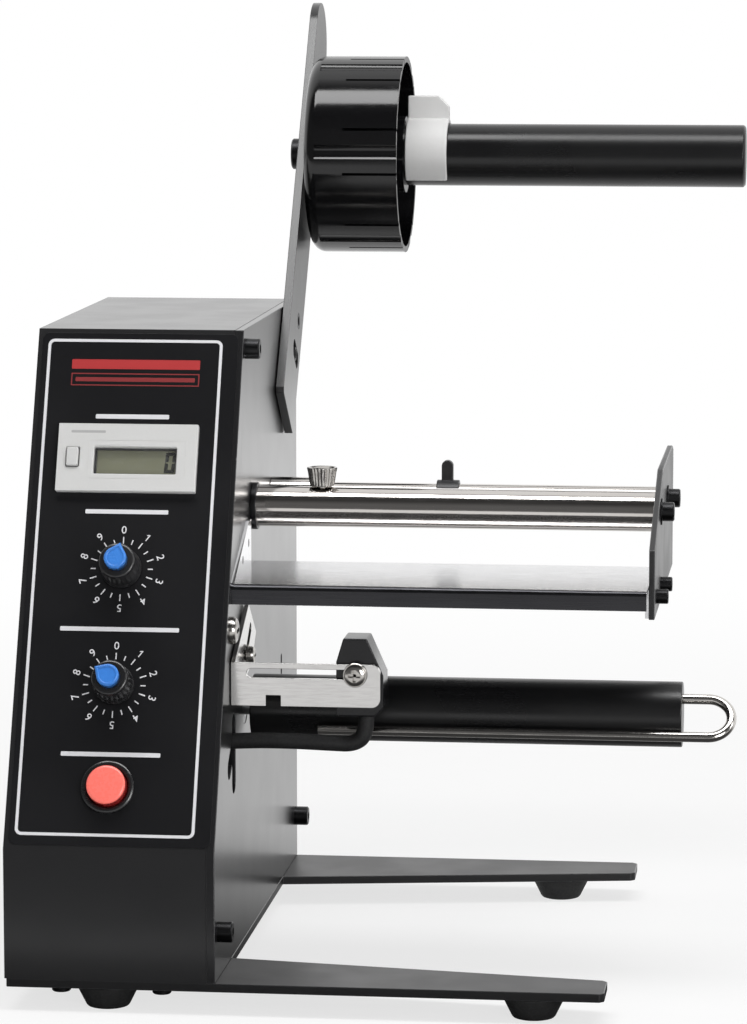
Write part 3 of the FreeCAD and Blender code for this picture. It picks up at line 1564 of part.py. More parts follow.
doc.recompute()
for thing in doc.Objects:
    assert not {"Invalid", "Error"} & set(thing.State), f"{thing.Label}: {thing.State}"
os.makedirs("parts", exist_ok=True)
for name, thing in nodes.items():
    assert thing.Label == name, f"{name} is labelled {thing.Label}"
    assert not thing.Shape.isNull() and thing.Shape.isValid(), f"{name} is not a valid shape"
    assert thing.Shape.Solids, f"{name} holds no solid"
for name, thing in nodes.items():
    thing.Shape.exportStep(f"parts/{name}.step")
print(f"{len(nodes)} pieces written")
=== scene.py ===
import json
import math

import bmesh
import bpy
from mathutils import Euler, Matrix, Vector


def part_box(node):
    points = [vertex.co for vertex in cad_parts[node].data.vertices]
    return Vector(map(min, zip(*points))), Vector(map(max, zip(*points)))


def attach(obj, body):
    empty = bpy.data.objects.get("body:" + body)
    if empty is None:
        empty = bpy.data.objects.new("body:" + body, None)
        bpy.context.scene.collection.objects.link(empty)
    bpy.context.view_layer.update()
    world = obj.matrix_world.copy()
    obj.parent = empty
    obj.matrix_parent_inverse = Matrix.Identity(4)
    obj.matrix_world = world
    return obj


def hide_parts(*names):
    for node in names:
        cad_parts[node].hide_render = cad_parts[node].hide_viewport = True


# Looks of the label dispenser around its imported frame. Lengths are written in millimetres and made
# metres by MM, and places are given as in the drawings: x from the outer face of the side plate,
# y from the front edge, z from the floor.

MM = 0.001
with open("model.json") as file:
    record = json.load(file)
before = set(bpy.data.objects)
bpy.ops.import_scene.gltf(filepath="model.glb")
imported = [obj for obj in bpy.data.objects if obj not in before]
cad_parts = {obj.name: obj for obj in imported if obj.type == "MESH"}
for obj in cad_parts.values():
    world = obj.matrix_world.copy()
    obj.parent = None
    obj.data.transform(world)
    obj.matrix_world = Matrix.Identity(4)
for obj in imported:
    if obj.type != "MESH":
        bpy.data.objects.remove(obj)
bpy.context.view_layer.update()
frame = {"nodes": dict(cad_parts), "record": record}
scene = bpy.context.scene
scene.view_settings.view_transform = "Standard"
plate_low, plate_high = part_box("side_plate")
X0 = plate_high.x
Y0 = plate_low.y
BODY = {part: body for body, parts in frame["record"]["behaviour"]["bodies"].items() for part in parts}

# Control panel: how far it leans back, and the height of its lower edge
LEAN = math.radians(23.6)
KNEE = 55


def spot(x, y, z):
    """A place given as in the drawings, in the frame's metres."""
    return Vector((X0 + x * MM, Y0 + y * MM, z * MM))


def panel_frame(x, rise, turn=0):
    """The place of a piece on the panel, with its own Z pointing out of it. rise is measured up the
    panel from its lower edge, and turn spins the piece about its Z, in degrees."""
    right = Vector((1, 0, 0))
    up = Vector((0, math.sin(LEAN), math.cos(LEAN)))
    out = Vector((0, -math.cos(LEAN), math.sin(LEAN)))
    place = Matrix((right, up, out)).transposed().to_4x4()
    place.translation = spot(x, rise * math.sin(LEAN), KNEE + rise * math.cos(LEAN))
    return place @ Matrix.Rotation(math.radians(turn), 4, "Z")


# Camera and lamps

FOCAL_PIXELS = 4300
LONG_SIDE = 1024
SENSOR = 36
CAMERA_DOWN = 0.129693
CAMERA_LEFT = 0.113773

camera_data = bpy.data.cameras.new("camera")
camera_data.sensor_width = SENSOR
camera_data.lens = FOCAL_PIXELS * SENSOR / LONG_SIDE
camera_data.clip_start = 0.05
camera_data.clip_end = 60
camera = bpy.data.objects.new("camera", camera_data)
camera.location = spot(210.34, -1378.11, 350.5)
camera.rotation_euler = (math.pi / 2 - CAMERA_DOWN, 0, CAMERA_LEFT)
scene.collection.objects.link(camera)
scene.camera = camera


def lamp(name, place, aim, wide, tall, power):
    """A white softbox. Its place, aim and sizes are in metres and its power in watts."""
    data = bpy.data.lights.new(name, "AREA")
    data.shape = "RECTANGLE"
    data.size = wide
    data.size_y = tall
    data.energy = power
    light = bpy.data.objects.new(name, data)
    light.location = place
    light.rotation_euler = (Vector(aim) - Vector(place)).to_track_quat("-Z", "Y").to_euler()
    scene.collection.objects.link(light)


lamp("top_softbox", (0.1, -0.27, 1.42), (0.1, -0.02, 0.15), 1.5, 0.4, 15)
lamp("front_softbox", (1.15, -1.75, 0.55), (0, 0, 0.15), 0.8, 0.8, 14)
lamp("right_softbox", (1.7, -0.5, 0.9), (0, 0, 0.15), 0.5, 1.0, 4.5)


# Shader and shape wiring

class Number:
    """A value in a node tree, so that sums on it read as plain maths."""

    def __init__(self, wiring, socket):
        self.wiring = wiring
        self.socket = socket

    def with_other(self, operation, first, second):
        made = self.wiring.make("ShaderNodeMath", {"operation": operation}, {0: first, 1: second})
        return Number(self.wiring, made.outputs[0])

    def __add__(self, other):
        return self.with_other("ADD", self, other)

    def __sub__(self, other):
        return self.with_other("SUBTRACT", self, other)

    def __rsub__(self, other):
        return self.with_other("SUBTRACT", other, self)

    def __mul__(self, other):
        return self.with_other("MULTIPLY", self, other)

    def __truediv__(self, other):
        return self.with_other("DIVIDE", self, other)

    def __mod__(self, other):
        return self.with_other("MODULO", self, other)

    def step(self, low, high, first=0.0, last=1.0):
        """Runs smoothly from first to last while this value goes from low to high."""
        made = self.wiring.make(
            "ShaderNodeMapRange", {"interpolation_type": "SMOOTHSTEP"},
            {"Value": self, "From Min": low, "From Max": high, "To Min": first, "To Max": last})
        return Number(self.wiring, made.outputs[0])


class Wiring:
    """A node tree being wired, where one method makes any node."""

    def __init__(self, tree):
        self.tree = tree

    def make(self, kind, settings=None, inputs=None):
        node = self.tree.nodes.new(kind)
        for name, value in (settings or {}).items():
            setattr(node, name, value)
        for name, value in (inputs or {}).items():
            self.feed(node.inputs[name], value)
        return node

    def feed(self, socket, value):
        """Links a node, a socket, a Number or several nodes to the socket, or sets its plain value."""
        if isinstance(value, (list, tuple)) and value and isinstance(value[0], bpy.types.Node):
            for source in value:
                self.feed(socket, source)
        elif isinstance(value, Number):
            self.tree.links.new(value.socket, socket)
        elif isinstance(value, bpy.types.NodeSocket):
            self.tree.links.new(value, socket)
        elif isinstance(value, bpy.types.Node):
            self.tree.links.new(value.outputs[0], socket)
        else:
            socket.default_value = value


class Finish(Wiring):
    """A material being wired."""

    def __init__(self, name):
        self.material = bpy.data.materials.new(name)
        self.material.use_nodes = True
        super().__init__(self.material.node_tree)
        self.tree.nodes.clear()
        self.place = self.make("ShaderNodeTexCoord").outputs["Object"]

    def noise(self, scale, detail=3.0, stretch=None, rough=0.5):
        """Noise whose features are about 1 / scale metres across, drawn out where stretch is small."""
        place = self.place
        if stretch:
            place = self.make("ShaderNodeMapping", None, {"Vector": place, "Scale": stretch}).outputs[0]
        made = self.make("ShaderNodeTexNoise", None, {
            "Vector": place, "Scale": scale, "Detail": detail, "Roughness": rough})
        return Number(self, made.outputs["Fac"])

    def part(self, axis):
        """One coordinate of the place, in metres."""
        parts = self.make("ShaderNodeSeparateXYZ", None, {0: self.place})
        return Number(self, parts.outputs[axis])

    def blend(self, share, first, second):
        """A colour between first and second, by share."""
        made = self.make("ShaderNodeMix", {"data_type": "RGBA"})
        self.feed(made.inputs["Factor"], share)
        for end, value in (("A", first), ("B", second)):
            socket = next(s for s in made.inputs if s.name == end and s.type == "RGBA")
            self.feed(socket, value if not isinstance(value, tuple) else (*value, 1.0))
        return next(s for s in made.outputs if s.type == "RGBA")

    def bump(self, height, depth, strength):
        made = self.make("ShaderNodeBump", None, {"Height": height, "Distance": depth, "Strength": strength})
        return made.outputs[0]

    def close(self, **sockets):
        """Ends the material in one shader with the given sockets."""
        names = {key.replace("_", " ").title().replace("Ior", "IOR"): value for key, value in sockets.items()}
        shader = self.make("ShaderNodeBsdfPrincipled")
        for key, value in names.items():
            if isinstance(value, tuple):
                value = (*value, 1.0)
            self.feed(shader.inputs[key], value)
        self.make("ShaderNodeOutputMaterial", None, {"Surface": shader})
        return self.material


BARE_METAL = (0.3, 0.3, 0.31)


def painted(name, dark, light, rough, smooth, rub=0.0, coat=0.4, depth=0.00002):
    """Satin paint with a fine orange peel. rub is the share of the paint worn to bare metal."""
    made = Finish(name)
    clouds = made.noise(14.0, 4.0)
    peel = made.noise(2200.0, 2.0)
    smudge = made.noise(45.0, 5.0)
    colour = made.blend(clouds * 0.7 + peel * 0.3, dark, light)
    roughness = smudge.step(0.3, 0.7, smooth, rough)
    metal = 0.0
    if rub:
        scuffs = made.noise(160.0, 6.0, rough=0.7).step(0.78 - rub, 0.84 - rub)
        colour = made.blend(scuffs, colour, BARE_METAL)
        roughness = roughness + scuffs * 0.08
        metal = scuffs * 0.8
    normal = made.bump(peel, depth, 0.35)
    return made.close(
        base_color=colour, roughness=roughness, metallic=metal, normal=normal, coat_weight=coat,
        coat_roughness=0.22)


def plastic(name, dark, light, rough, smooth, grain=1400.0, depth=0.000015, sheen=0.5):
    """Moulded plastic with a faint flow pattern, fine scratches and an even texture."""
    made = Finish(name)
    flow = made.noise(22.0, 2.0)
    texture = made.noise(grain, 3.0)
    scratches = made.noise(260.0, 4.0, (1.0, 7.0, 7.0)).step(0.55, 0.7)
    colour = made.blend(flow * 0.6 + texture * 0.4, dark, light)
    roughness = flow.step(0.35, 0.65, smooth, rough) + scratches * 0.04
    normal = made.bump(texture, depth, 0.3)
    return made.close(base_color=colour, roughness=roughness, normal=normal, specular_ior_level=sheen)


def metal(name, dark, light, rough, smooth, stretch=(3.0, 60.0, 60.0)):
    """Bare metal with drawn-out lines, soft stains and a little unevenness of its gloss."""
    made = Finish(name)
    lines = made.noise(40.0, 5.0, stretch, 0.6)
    stains = made.noise(30.0, 4.0)
    pits = made.noise(900.0, 3.0)
    colour = made.blend(stains * 0.6 + lines * 0.4, dark, light)
    roughness = lines.step(0.35, 0.65, smooth, rough) + pits * 0.03
    normal = made.bump(lines, 0.000004, 0.4)
    return made.close(base_color=colour, roughness=roughness, metallic=1.0, normal=normal)


def rubber(name, dark, light):
    """Dull rubber with a grained skin and a little dust."""
    made = Finish(name)
    dust = made.noise(70.0, 5.0).step(0.45, 0.8)
    skin = made.noise(1100.0, 4.0)
    colour = made.blend(dust * 0.5 + skin * 0.2, dark, light)
    roughness = skin.step(0.3, 0.7, 0.52, 0.72)
    return made.close(base_color=colour, roughness=roughness, normal=made.bump(skin, 0.00004, 0.4))


black_paint = painted(
    "black_paint", (0.0085, 0.0085, 0.0095), (0.0115, 0.0115, 0.0125), 0.3, 0.28, depth=0.000004)
# Edge finish for the plates and the arm: lighter than their paint, a painted highlight along the rounded edges,
# with some real wear to bare metal
black_paint_edge_highlight_and_wear = painted(
    "black_paint_edge_highlight_and_wear", (0.015, 0.015, 0.016), (0.03, 0.03, 0.032), 0.36, 0.27, rub=0.12)
base_paint = painted(
    "base_paint", (0.0085, 0.0085, 0.0095), (0.0115, 0.0115, 0.0125), 0.42, 0.36, depth=0.000008, coat=0.0)
cover_paint = painted("cover_paint", (0.011, 0.011, 0.012), (0.0145, 0.0145, 0.0155), 0.34, 0.3)
# Edge finish for the cover: much darker than its paint, a painted shade along the seam with the side plate,
# with a little real wear
cover_paint_edge_shade_and_wear = painted(
    "cover_paint_edge_shade_and_wear", (0.002, 0.002, 0.0022), (0.004, 0.004, 0.0045), 0.5, 0.4, rub=0.02, coat=0.0)
panel_film = plastic(
    "panel_film", (0.0065, 0.0065, 0.0075), (0.0105, 0.0105, 0.012), 0.34, 0.28, 3200.0, sheen=0.4)
drum_plastic = plastic("drum_plastic", (0.003, 0.003, 0.0034), (0.005, 0.005, 0.0055), 0.16, 0.1)
rod_plastic = plastic("rod_plastic", (0.004, 0.004, 0.0045), (0.007, 0.007, 0.0075), 0.3, 0.2, sheen=0.4)
black_plastic = plastic("black_plastic", (0.008, 0.008, 0.009), (0.015, 0.015, 0.016), 0.38, 0.28)
knob_plastic = plastic("knob_plastic", (0.008, 0.008, 0.009), (0.014, 0.014, 0.015), 0.34, 0.24, sheen=0.8)
sensor_plastic = plastic("sensor_plastic", (0.005, 0.005, 0.006), (0.009, 0.009, 0.01), 0.3, 0.2, sheen=0.35)
counter_plastic = plastic("counter_plastic", (0.55, 0.55, 0.542), (0.63, 0.63, 0.622), 0.42, 0.32)
key_plastic = plastic("key_plastic", (0.54, 0.54, 0.535), (0.61, 0.61, 0.605), 0.4, 0.3)
clip_nylon = plastic(
    "clip_nylon", (0.58, 0.58, 0.575), (0.66, 0.655, 0.65), 0.6, 0.5, 700.0, 0.00003, sheen=0.3)
blue_plastic = plastic("blue_plastic", (0.035, 0.18, 0.6), (0.06, 0.26, 0.74), 0.32, 0.22)
chrome = metal("chrome", (0.54, 0.51, 0.485), (0.72, 0.695, 0.67), 0.12, 0.05)
sleeve_chrome = metal("sleeve_chrome", (0.5, 0.48, 0.46), (0.66, 0.64, 0.62), 0.16, 0.08)
polished_steel = metal("polished_steel", (0.6, 0.6, 0.61), (0.74, 0.74, 0.75), 0.22, 0.14, (2.0, 50.0, 50.0))
bracket_steel = metal("bracket_steel", (0.58, 0.57, 0.56), (0.72, 0.71, 0.7), 0.22, 0.12, (3.0, 40.0, 40.0))
nickel = metal("nickel", (0.42, 0.4, 0.38), (0.6, 0.58, 0.55), 0.24, 0.14)
wire_steel = metal("wire_steel", (0.5, 0.48, 0.46), (0.68, 0.66, 0.63), 0.18, 0.1)
# Darker steel for the front-facing faces of the peel plate's bend: a painted dark reflection
lip_painted_dark_reflection = metal("lip_painted_dark_reflection", (0.04, 0.04, 0.044), (0.066, 0.066, 0.071), 0.3, 0.2, (2.0, 50.0, 50.0))
black_steel = metal("black_steel", (0.02, 0.02, 0.021), (0.05, 0.05, 0.052), 0.42, 0.3)
zinc = metal("zinc", (0.4, 0.41, 0.42), (0.58, 0.59, 0.6), 0.4, 0.28)
brass = metal("brass", (0.5, 0.36, 0.14), (0.68, 0.5, 0.22), 0.34, 0.22)
grey_steel = metal("grey_steel", (0.24, 0.24, 0.25), (0.36, 0.36, 0.37), 0.44, 0.32)
roller_sleeve = plastic("roller_sleeve", (0.0035, 0.0035, 0.004), (0.0065, 0.0065, 0.007), 0.34, 0.26, 1000.0)
foot_rubber = rubber("foot_rubber", (0.012, 0.012, 0.0125), (0.03, 0.03, 0.031))
cable_jacket = rubber("cable_jacket", (0.009, 0.009, 0.0095), (0.018, 0.018, 0.019))
board_green = plastic("board_green", (0.01, 0.07, 0.03), (0.02, 0.11, 0.05), 0.4, 0.28, 500.0)
print_white = plastic("print_white", (0.62, 0.62, 0.64), (0.74, 0.74, 0.76), 0.5, 0.4, 4000.0, 0.000004)
print_grey = plastic("print_grey", (0.36, 0.36, 0.36), (0.44, 0.44, 0.44), 0.5, 0.4, 4000.0, 0.000004)
print_red = plastic("print_red", (0.37, 0.024, 0.026), (0.47, 0.036, 0.037), 0.5, 0.4, 4000.0, 0.000004)
print_dark_red = plastic("print_dark_red", (0.2, 0.022, 0.024), (0.27, 0.03, 0.032), 0.5, 0.4, 4000.0, 0.000004)
digit_ink = plastic("digit_ink", (0.006, 0.008, 0.006), (0.012, 0.014, 0.011), 0.3, 0.2)


def display_glass():
    """The grey-green sheet of the counter's display, with a faint cloudy tint."""
    made = Finish("display_glass")
    tint = made.noise(60.0, 3.0)
    grain = made.noise(2500.0, 2.0)
    colour = made.blend(tint * 0.6 + grain * 0.4, (0.14, 0.144, 0.094), (0.19, 0.195, 0.128))
    return made.close(base_color=colour, roughness=grain.step(0.3, 0.7, 0.3, 0.38), specular_ior_level=0.4)


def clear_lens():
    """The counter's clear window, which shows only as a thin veil of dust."""
    made = Finish("clear_lens")
    dust = made.noise(500.0, 4.0).step(0.5, 0.8)
    veil = dust * 0.05 + 0.03
    return made.close(
        base_color=made.blend(dust, (0.5, 0.5, 0.5), (0.7, 0.7, 0.7)), roughness=dust * 0.1 + 0.06, alpha=veil)


def lamp_red():
    """Clear red plastic over a lamp: its face glows softly and its skirt stays deep red."""
    face_height = 5.2 * MM
    fade = 0.4 * MM
    made = Finish("lamp_red")
    across = made.part("Y") * -math.cos(LEAN) + made.part("Z") * math.sin(LEAN)
    face = panel_frame(0, 0) @ Vector((0, 0, face_height))
    level = face.y * -math.cos(LEAN) + face.z * math.sin(LEAN)
    lit = across.step(level - fade, level + fade)
    cells = made.noise(900.0, 2.0)
    colour = made.blend(lit, (0.2, 0.008, 0.01), (0.78, 0.15, 0.12))
    glow = made.blend(lit, (0.01, 0.0, 0.0), (0.27, 0.05, 0.04))
    return made.close(
        base_color=made.blend(cells * 0.2, colour, (0.6, 0.1, 0.08)),
        roughness=cells.step(0.3, 0.7, 0.22, 0.34), emission_color=glow, emission_strength=1.0, coat_weight=0.3)


display_sheet = display_glass()
lens_plastic = clear_lens()
lamp_plastic = lamp_red()


# Floor and surroundings. Glossy surfaces see the sky dim in front and white behind, with a weak band
# low in front, and matt surfaces see it evenly grey

SKY_FRONT = 0.045
SKY_BEHIND = 1.0
SKY_LOW_FRONT = 0.09
SKY_ON_MATT = 0.3

# Brightness that glossy surfaces see in the floor, along Y in metres from the middle of the machine
FLOOR_DARKEST = 0.06
FLOOR_FAR_FRONT = 0.1
FLOOR_NEAR_FRONT = 0.9
FLOOR_BEHIND = 0.9
FLOOR_FAR_BEHIND = 0.35
FLOOR_REACH = 45


def surroundings():
    """The sky: white where it is seen directly."""
    world = bpy.data.worlds.new("studio")
    world.use_nodes = True
    scene.world = world
    sky = Wiring(world.node_tree)
    sky.tree.nodes.clear()
    rays = sky.make("ShaderNodeLightPath")
    seen = Number(sky, rays.outputs["Is Camera Ray"])
    passed = Number(sky, rays.outputs["Is Transmission Ray"])
    mirrored = Number(sky, rays.outputs["Is Glossy Ray"])
    way = sky.make("ShaderNodeSeparateXYZ", None, {0: sky.make("ShaderNodeTexCoord").outputs["Generated"]})
    behind = Number(sky, way.outputs["Y"]).step(-0.1, 0.25, SKY_FRONT, SKY_BEHIND)
    direct = sky.make("ShaderNodeMath", {"operation": "MAXIMUM"}, {0: seen, 1: passed})
    direct = Number(sky, direct.outputs[0])
    low_front = Number(sky, way.outputs["Z"]).step(0.35, 0.75, SKY_LOW_FRONT, 0.0)
    strength = direct + (1 - direct) * (mirrored * (behind + low_front) + (1 - mirrored) * SKY_ON_MATT)
    back = sky.make("ShaderNodeBackground", None, {"Color": (1, 1, 1, 1), "Strength": strength})
    sky.make("ShaderNodeOutputWorld", None, {"Surface": back})


def pale_floor():
    """A plain pale floor that turns white away from the machine."""
    made = Finish("pale_floor")
    rays = made.make("ShaderNodeLightPath")
    grain = made.noise(60.0, 3.0)
    diffuse = made.make("ShaderNodeBsdfPrincipled", None, {
        "Base Color": made.blend(grain, (0.86, 0.86, 0.86), (0.9, 0.9, 0.9)), "Roughness": 0.9})
    depth = made.part("Y")
    front = depth.step(-2.2, -1.3, FLOOR_FAR_FRONT, FLOOR_NEAR_FRONT) * depth.step(-0.45, -0.22, 1.0, 0.0)
    rise = depth.step(-0.08, 0.22, 0.0, FLOOR_BEHIND) + depth.step(0.6, 1.1, 0.0, FLOOR_FAR_BEHIND)
    back = rise * depth.step(1.5, 2.4, 1.0, 0.4)
    mirror_white = front + back + FLOOR_DARKEST
    mirrored = Number(made, rays.outputs["Is Glossy Ray"])
    seen = Number(made, rays.outputs["Is Camera Ray"])
    white = made.make("ShaderNodeEmission", None, {"Color": (1, 1, 1, 1), "Strength": 1.0})
    glow = made.make("ShaderNodeEmission", None, {"Color": (1, 1, 1, 1), "Strength": mirror_white})
    away = made.make("ShaderNodeVectorMath", {"operation": "LENGTH"}, {0: made.place}).outputs["Value"]
    share = Number(made, away).step(0.15, 0.9, 0.72, 1.0)
    plain = made.make("ShaderNodeMixShader", None, {0: seen * share, 1: diffuse, 2: white})
    floor_shader = made.make("ShaderNodeMixShader", None, {0: mirrored, 1: plain, 2: glow})
    made.make("ShaderNodeOutputMaterial", None, {"Surface": floor_shader})
    mesh = bpy.data.meshes.new("floor")
    reach = FLOOR_REACH
    corners = [(-reach, -reach, 0), (reach, -reach, 0), (reach, reach, 0), (-reach, reach, 0)]
    mesh.from_pydata(corners, [], [(0, 1, 2, 3)])
    mesh.materials.append(made.material)
    floor = bpy.data.objects.new("floor", mesh)
    scene.collection.objects.link(floor)


surroundings()
pale_floor()


# Making pieces

SMOOTH_BELOW = math.radians(34)
ROUND_ABOVE = math.radians(32)
SAME_POINT = 0.000002


def smoothed(mesh):
    mesh.shade_smooth()
    mesh.set_sharp_from_angle(angle=SMOOTH_BELOW)


def stand(name, mesh, body, *nodes):
    """Puts a finished mesh in the scene as a piece of the named body, in place of any nodes given."""
    mesh.name = name
    thing = bpy.data.objects.new(name, mesh)
    scene.collection.objects.link(thing)
    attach(thing, body)
    if nodes:
        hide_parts(*nodes)
    return thing


def merged(node):
    """A copy of a node's mesh whose loose triangles are joined."""
    shape = bmesh.new()
    shape.from_mesh(frame["nodes"][node].data)
    bmesh.ops.remove_doubles(shape, verts=shape.verts, dist=SAME_POINT)
    bmesh.ops.dissolve_limit(
        shape, angle_limit=math.radians(0.3), verts=shape.verts, edges=shape.edges, delimit=set())
    return shape


def evened(mesh):
    """Shades each corner by its large faces, so that flat walls stay flat between their rounds."""
    leans = [Vector() for _ in mesh.vertices]
    for face in mesh.polygons:
        for vertex in face.vertices:
            leans[vertex] += face.normal * face.area
    mesh.shade_smooth()
    mesh.normals_split_custom_set_from_vertices([lean.normalized() for lean in leans])


def softened(node, radius, finish, edge=None, steps=2, prepare=None, third=None, clamp=True):
    """The node with its edges rounded by radius. The rounds take the edge finish, and faces that
    prepare gives to a third finish take that. With clamp the shortest edge holds all rounds back,
    and without it a plate with small holes keeps its full radius."""
    shape = merged(node)
    if prepare:
        prepare(shape)
    mesh = bpy.data.meshes.new(node)
    shape.to_mesh(mesh)
    shape.free()
    mesh.materials.append(finish)
    mesh.materials.append(edge or finish)
    if third:
        mesh.materials.append(third)
    holder = bpy.data.objects.new("holder", mesh)
    scene.collection.objects.link(holder)
    rounding = holder.modifiers.new("rounding", "BEVEL")
    rounding.width = radius * MM
    rounding.segments = steps
    rounding.limit_method = "ANGLE"
    rounding.angle_limit = ROUND_ABOVE
    rounding.material = 1
    rounding.miter_outer = "MITER_ARC"
    rounding.use_clamp_overlap = clamp
    made = bpy.data.meshes.new_from_object(holder.evaluated_get(bpy.context.evaluated_depsgraph_get()))
    bpy.data.objects.remove(holder)
    evened(made)
    return stand(f"{node}_shown", made, BODY[node], node)


def dressed(node, finish):
    """The node itself, with its finish."""
    thing = frame["nodes"][node]
    if not thing.material_slots:
        thing.data.materials.append(finish)
    for place in thing.material_slots:
        place.material = finish


def islands(node):
    """The box of each separate solid of a node, in millimetres from the drawing's faces."""
    shape = bmesh.new()
    shape.from_mesh(frame["nodes"][node].data)
    bmesh.ops.remove_doubles(shape, verts=shape.verts, dist=SAME_POINT)
    left = set(shape.verts)
    boxes = []
    while left:
        reached = [left.pop()]
        for vertex in reached:
            for edge in vertex.link_edges:
                other = edge.other_vert(vertex)
                if other in left:
                    left.discard(other)
                    reached.append(other)
        places = [(v.co - spot(0, 0, 0)) / MM for v in reached]
        low = Vector(min(p[i] for p in places) for i in range(3))
        high = Vector(max(p[i] for p in places) for i in range(3))
        boxes.append((low, high))
    shape.free()
    return sorted(boxes, key=lambda pair: tuple(round(c, 3) for c in pair[0]))


def turned(profile, place, finish, sides=64, ripple=None):
    """A turned piece. profile gives radius and height in millimetres, from pole to pole, or round a
    ring when its last pair is its first. ripple adds to the radius by angle, radius and height."""
    shape = bmesh.new()
    rings = []
    for radius, height in profile:
        if radius == 0:
            rings.append([shape.verts.new((0, 0, height * MM))])
            continue
        ring = []
        for number in range(sides):
            angle = 2 * math.pi * number / sides
            reach = (radius + (ripple(angle, radius, height) if ripple else 0)) * MM
            ring.append(shape.verts.new((reach * math.cos(angle), reach * math.sin(angle), height * MM)))
        rings.append(ring)
    if profile[0] == profile[-1]:
        for vertex in rings[-1]:
            shape.verts.remove(vertex)
        rings[-1] = rings[0]
    for low, high in zip(rings, rings[1:]):
        for number in range(sides):
            after = (number + 1) % sides
            if len(low) == 1:
                shape.faces.new((low[0], high[number], high[after]))
            elif len(high) == 1:
                shape.faces.new((low[number], low[after], high[0]))
            else:
                shape.faces.new((low[number], low[after], high[after], high[number]))
    bmesh.ops.recalc_face_normals(shape, faces=shape.faces)
    return ended(shape, place, finish)


def ended(shape, place, finish):
    """The mesh of a drawn shape, at its place and with its finish."""
    mesh = bpy.data.meshes.new("shape")
    shape.to_mesh(mesh)
    shape.free()
    mesh.materials.append(finish)
    mesh.transform(place)
    smoothed(mesh)
    return mesh


def slab(shape, outline, low, high):
    """Adds a flat piece with the given outline between two heights, all in millimetres."""
    floor_ring = [shape.verts.new((u * MM, v * MM, low * MM)) for u, v in outline]
    roof_ring = [shape.verts.new((u * MM, v * MM, high * MM)) for u, v in outline]
    shape.faces.new(floor_ring[::-1])
    shape.faces.new(roof_ring)
    for number in range(len(outline)):
        after = (number + 1) % len(outline)
        shape.faces.new((floor_ring[number], floor_ring[after], roof_ring[after], roof_ring[number]))


def border(shape, outer, inner, low, high):
    """Adds a flat ring between two outlines with as many points each."""
    rings = [[shape.verts.new((u * MM, v * MM, height * MM)) for u, v in outline]
             for outline, height in ((outer, low), (outer, high), (inner, high), (inner, low))]
    for first, second in zip(rings, rings[1:] + rings[:1]):
        for number in range(len(outer)):
            after = (number + 1) % len(outer)
            shape.faces.new((first[number], first[after], second[after], second[number]))


def rounded_outline(left, low, right, high, corner, steps=6):
    """A rectangle with round corners, anticlockwise from its lower right one."""
    points = []
    for u, v, start in ((right - corner, low + corner, -90), (right - corner, high - corner, 0),
                        (left + corner, high - corner, 90), (left + corner, low + corner, 180)):
        for step in range(steps + 1):
            angle = math.radians(start + 90 * step / steps)
            points.append((u + corner * math.cos(angle), v + corner * math.sin(angle)))
    return points


# Shape trees: screws and dial marks

def shape_tree(name, sizes):
    """An empty shape tree with the given named inputs, and the pieces to wire it."""
    tree = bpy.data.node_groups.new(name, "GeometryNodeTree")
    tree.interface.new_socket("Geometry", in_out="INPUT", socket_type="NodeSocketGeometry")
    tree.interface.new_socket("Geometry", in_out="OUTPUT", socket_type="NodeSocketGeometry")
    kinds = {float: "NodeSocketFloat", int: "NodeSocketInt", tuple: "NodeSocketVector"}
    for size_name, value in sizes.items():
        made = tree.interface.new_socket(size_name, in_out="INPUT", socket_type=kinds[type(value)])
        made.default_value = value
    tree.interface.new_socket("Finish", in_out="INPUT", socket_type="NodeSocketMaterial")
    wiring = Wiring(tree)
    start = wiring.make("NodeGroupInput")
    entry = {socket.name: Number(wiring, socket) for socket in start.outputs if socket.name}
    return tree, wiring, entry


def close_tree(wiring, shapes, entry):
    """Ends a shape tree with real shapes in the given finish."""
    real = wiring.make("GeometryNodeRealizeInstances", None, {0: shapes})
    coloured = wiring.make("GeometryNodeSetMaterial", None, {"Geometry": real, "Material": entry["Finish"]})
    wiring.make("NodeGroupOutput", None, {0: coloured})


def grown(tree, places, values, finish, matrix=None):
    """Runs a shape tree on a set of points and returns its plain mesh."""
    mesh = bpy.data.meshes.new("points")
    mesh.from_pydata([tuple(p) for p in places], [], [])
    holder = bpy.data.objects.new("holder", mesh)
    scene.collection.objects.link(holder)
    shaping = holder.modifiers.new("shaping", "NODES")
    shaping.node_group = tree
    for item in tree.interface.items_tree:
        if item.in_out == "INPUT" and item.name in values:
            shaping[item.identifier] = values[item.name]
        if item.in_out == "INPUT" and item.name == "Finish":
            shaping[item.identifier] = finish
    made = bpy.data.meshes.new_from_object(holder.evaluated_get(bpy.context.evaluated_depsgraph_get()))
    bpy.data.objects.remove(holder)
    if matrix:
        made.transform(matrix)
    smoothed(made)
    return made


def moved(wiring, shape, shift):
    return wiring.make("GeometryNodeTransform", None, {"Geometry": shape, "Translation": shift})


def lifted(wiring, height):
    return wiring.make("ShaderNodeCombineXYZ", None, {"Z": height})


def drum(wiring, sides, radius, depth, height):
    """An upright cylinder centred at a height."""
    made = wiring.make("GeometryNodeMeshCylinder", None, {"Vertices": sides, "Radius": radius, "Depth": depth})
    return moved(wiring, made.outputs["Mesh"], lifted(wiring, height))


def broken_edge(wiring, shape, drop, share):
    """Draws the top face of a shape up by drop and in to a share of its width."""
    up = wiring.make("ShaderNodeSeparateXYZ", None, {0: wiring.make("GeometryNodeInputNormal")})
    top = wiring.make("FunctionNodeCompare", {"operation": "GREATER_THAN"}, {0: up.outputs["Z"], 1: 0.9})
    drawn = wiring.make("GeometryNodeExtrudeMesh", {"mode": "FACES"}, {
        "Mesh": shape, "Selection": top, "Offset Scale": drop, "Individual": False})
    return wiring.make("GeometryNodeScaleElements", None, {
        "Geometry": drawn.outputs["Mesh"], "Selection": drawn.outputs["Top"], "Scale": share})


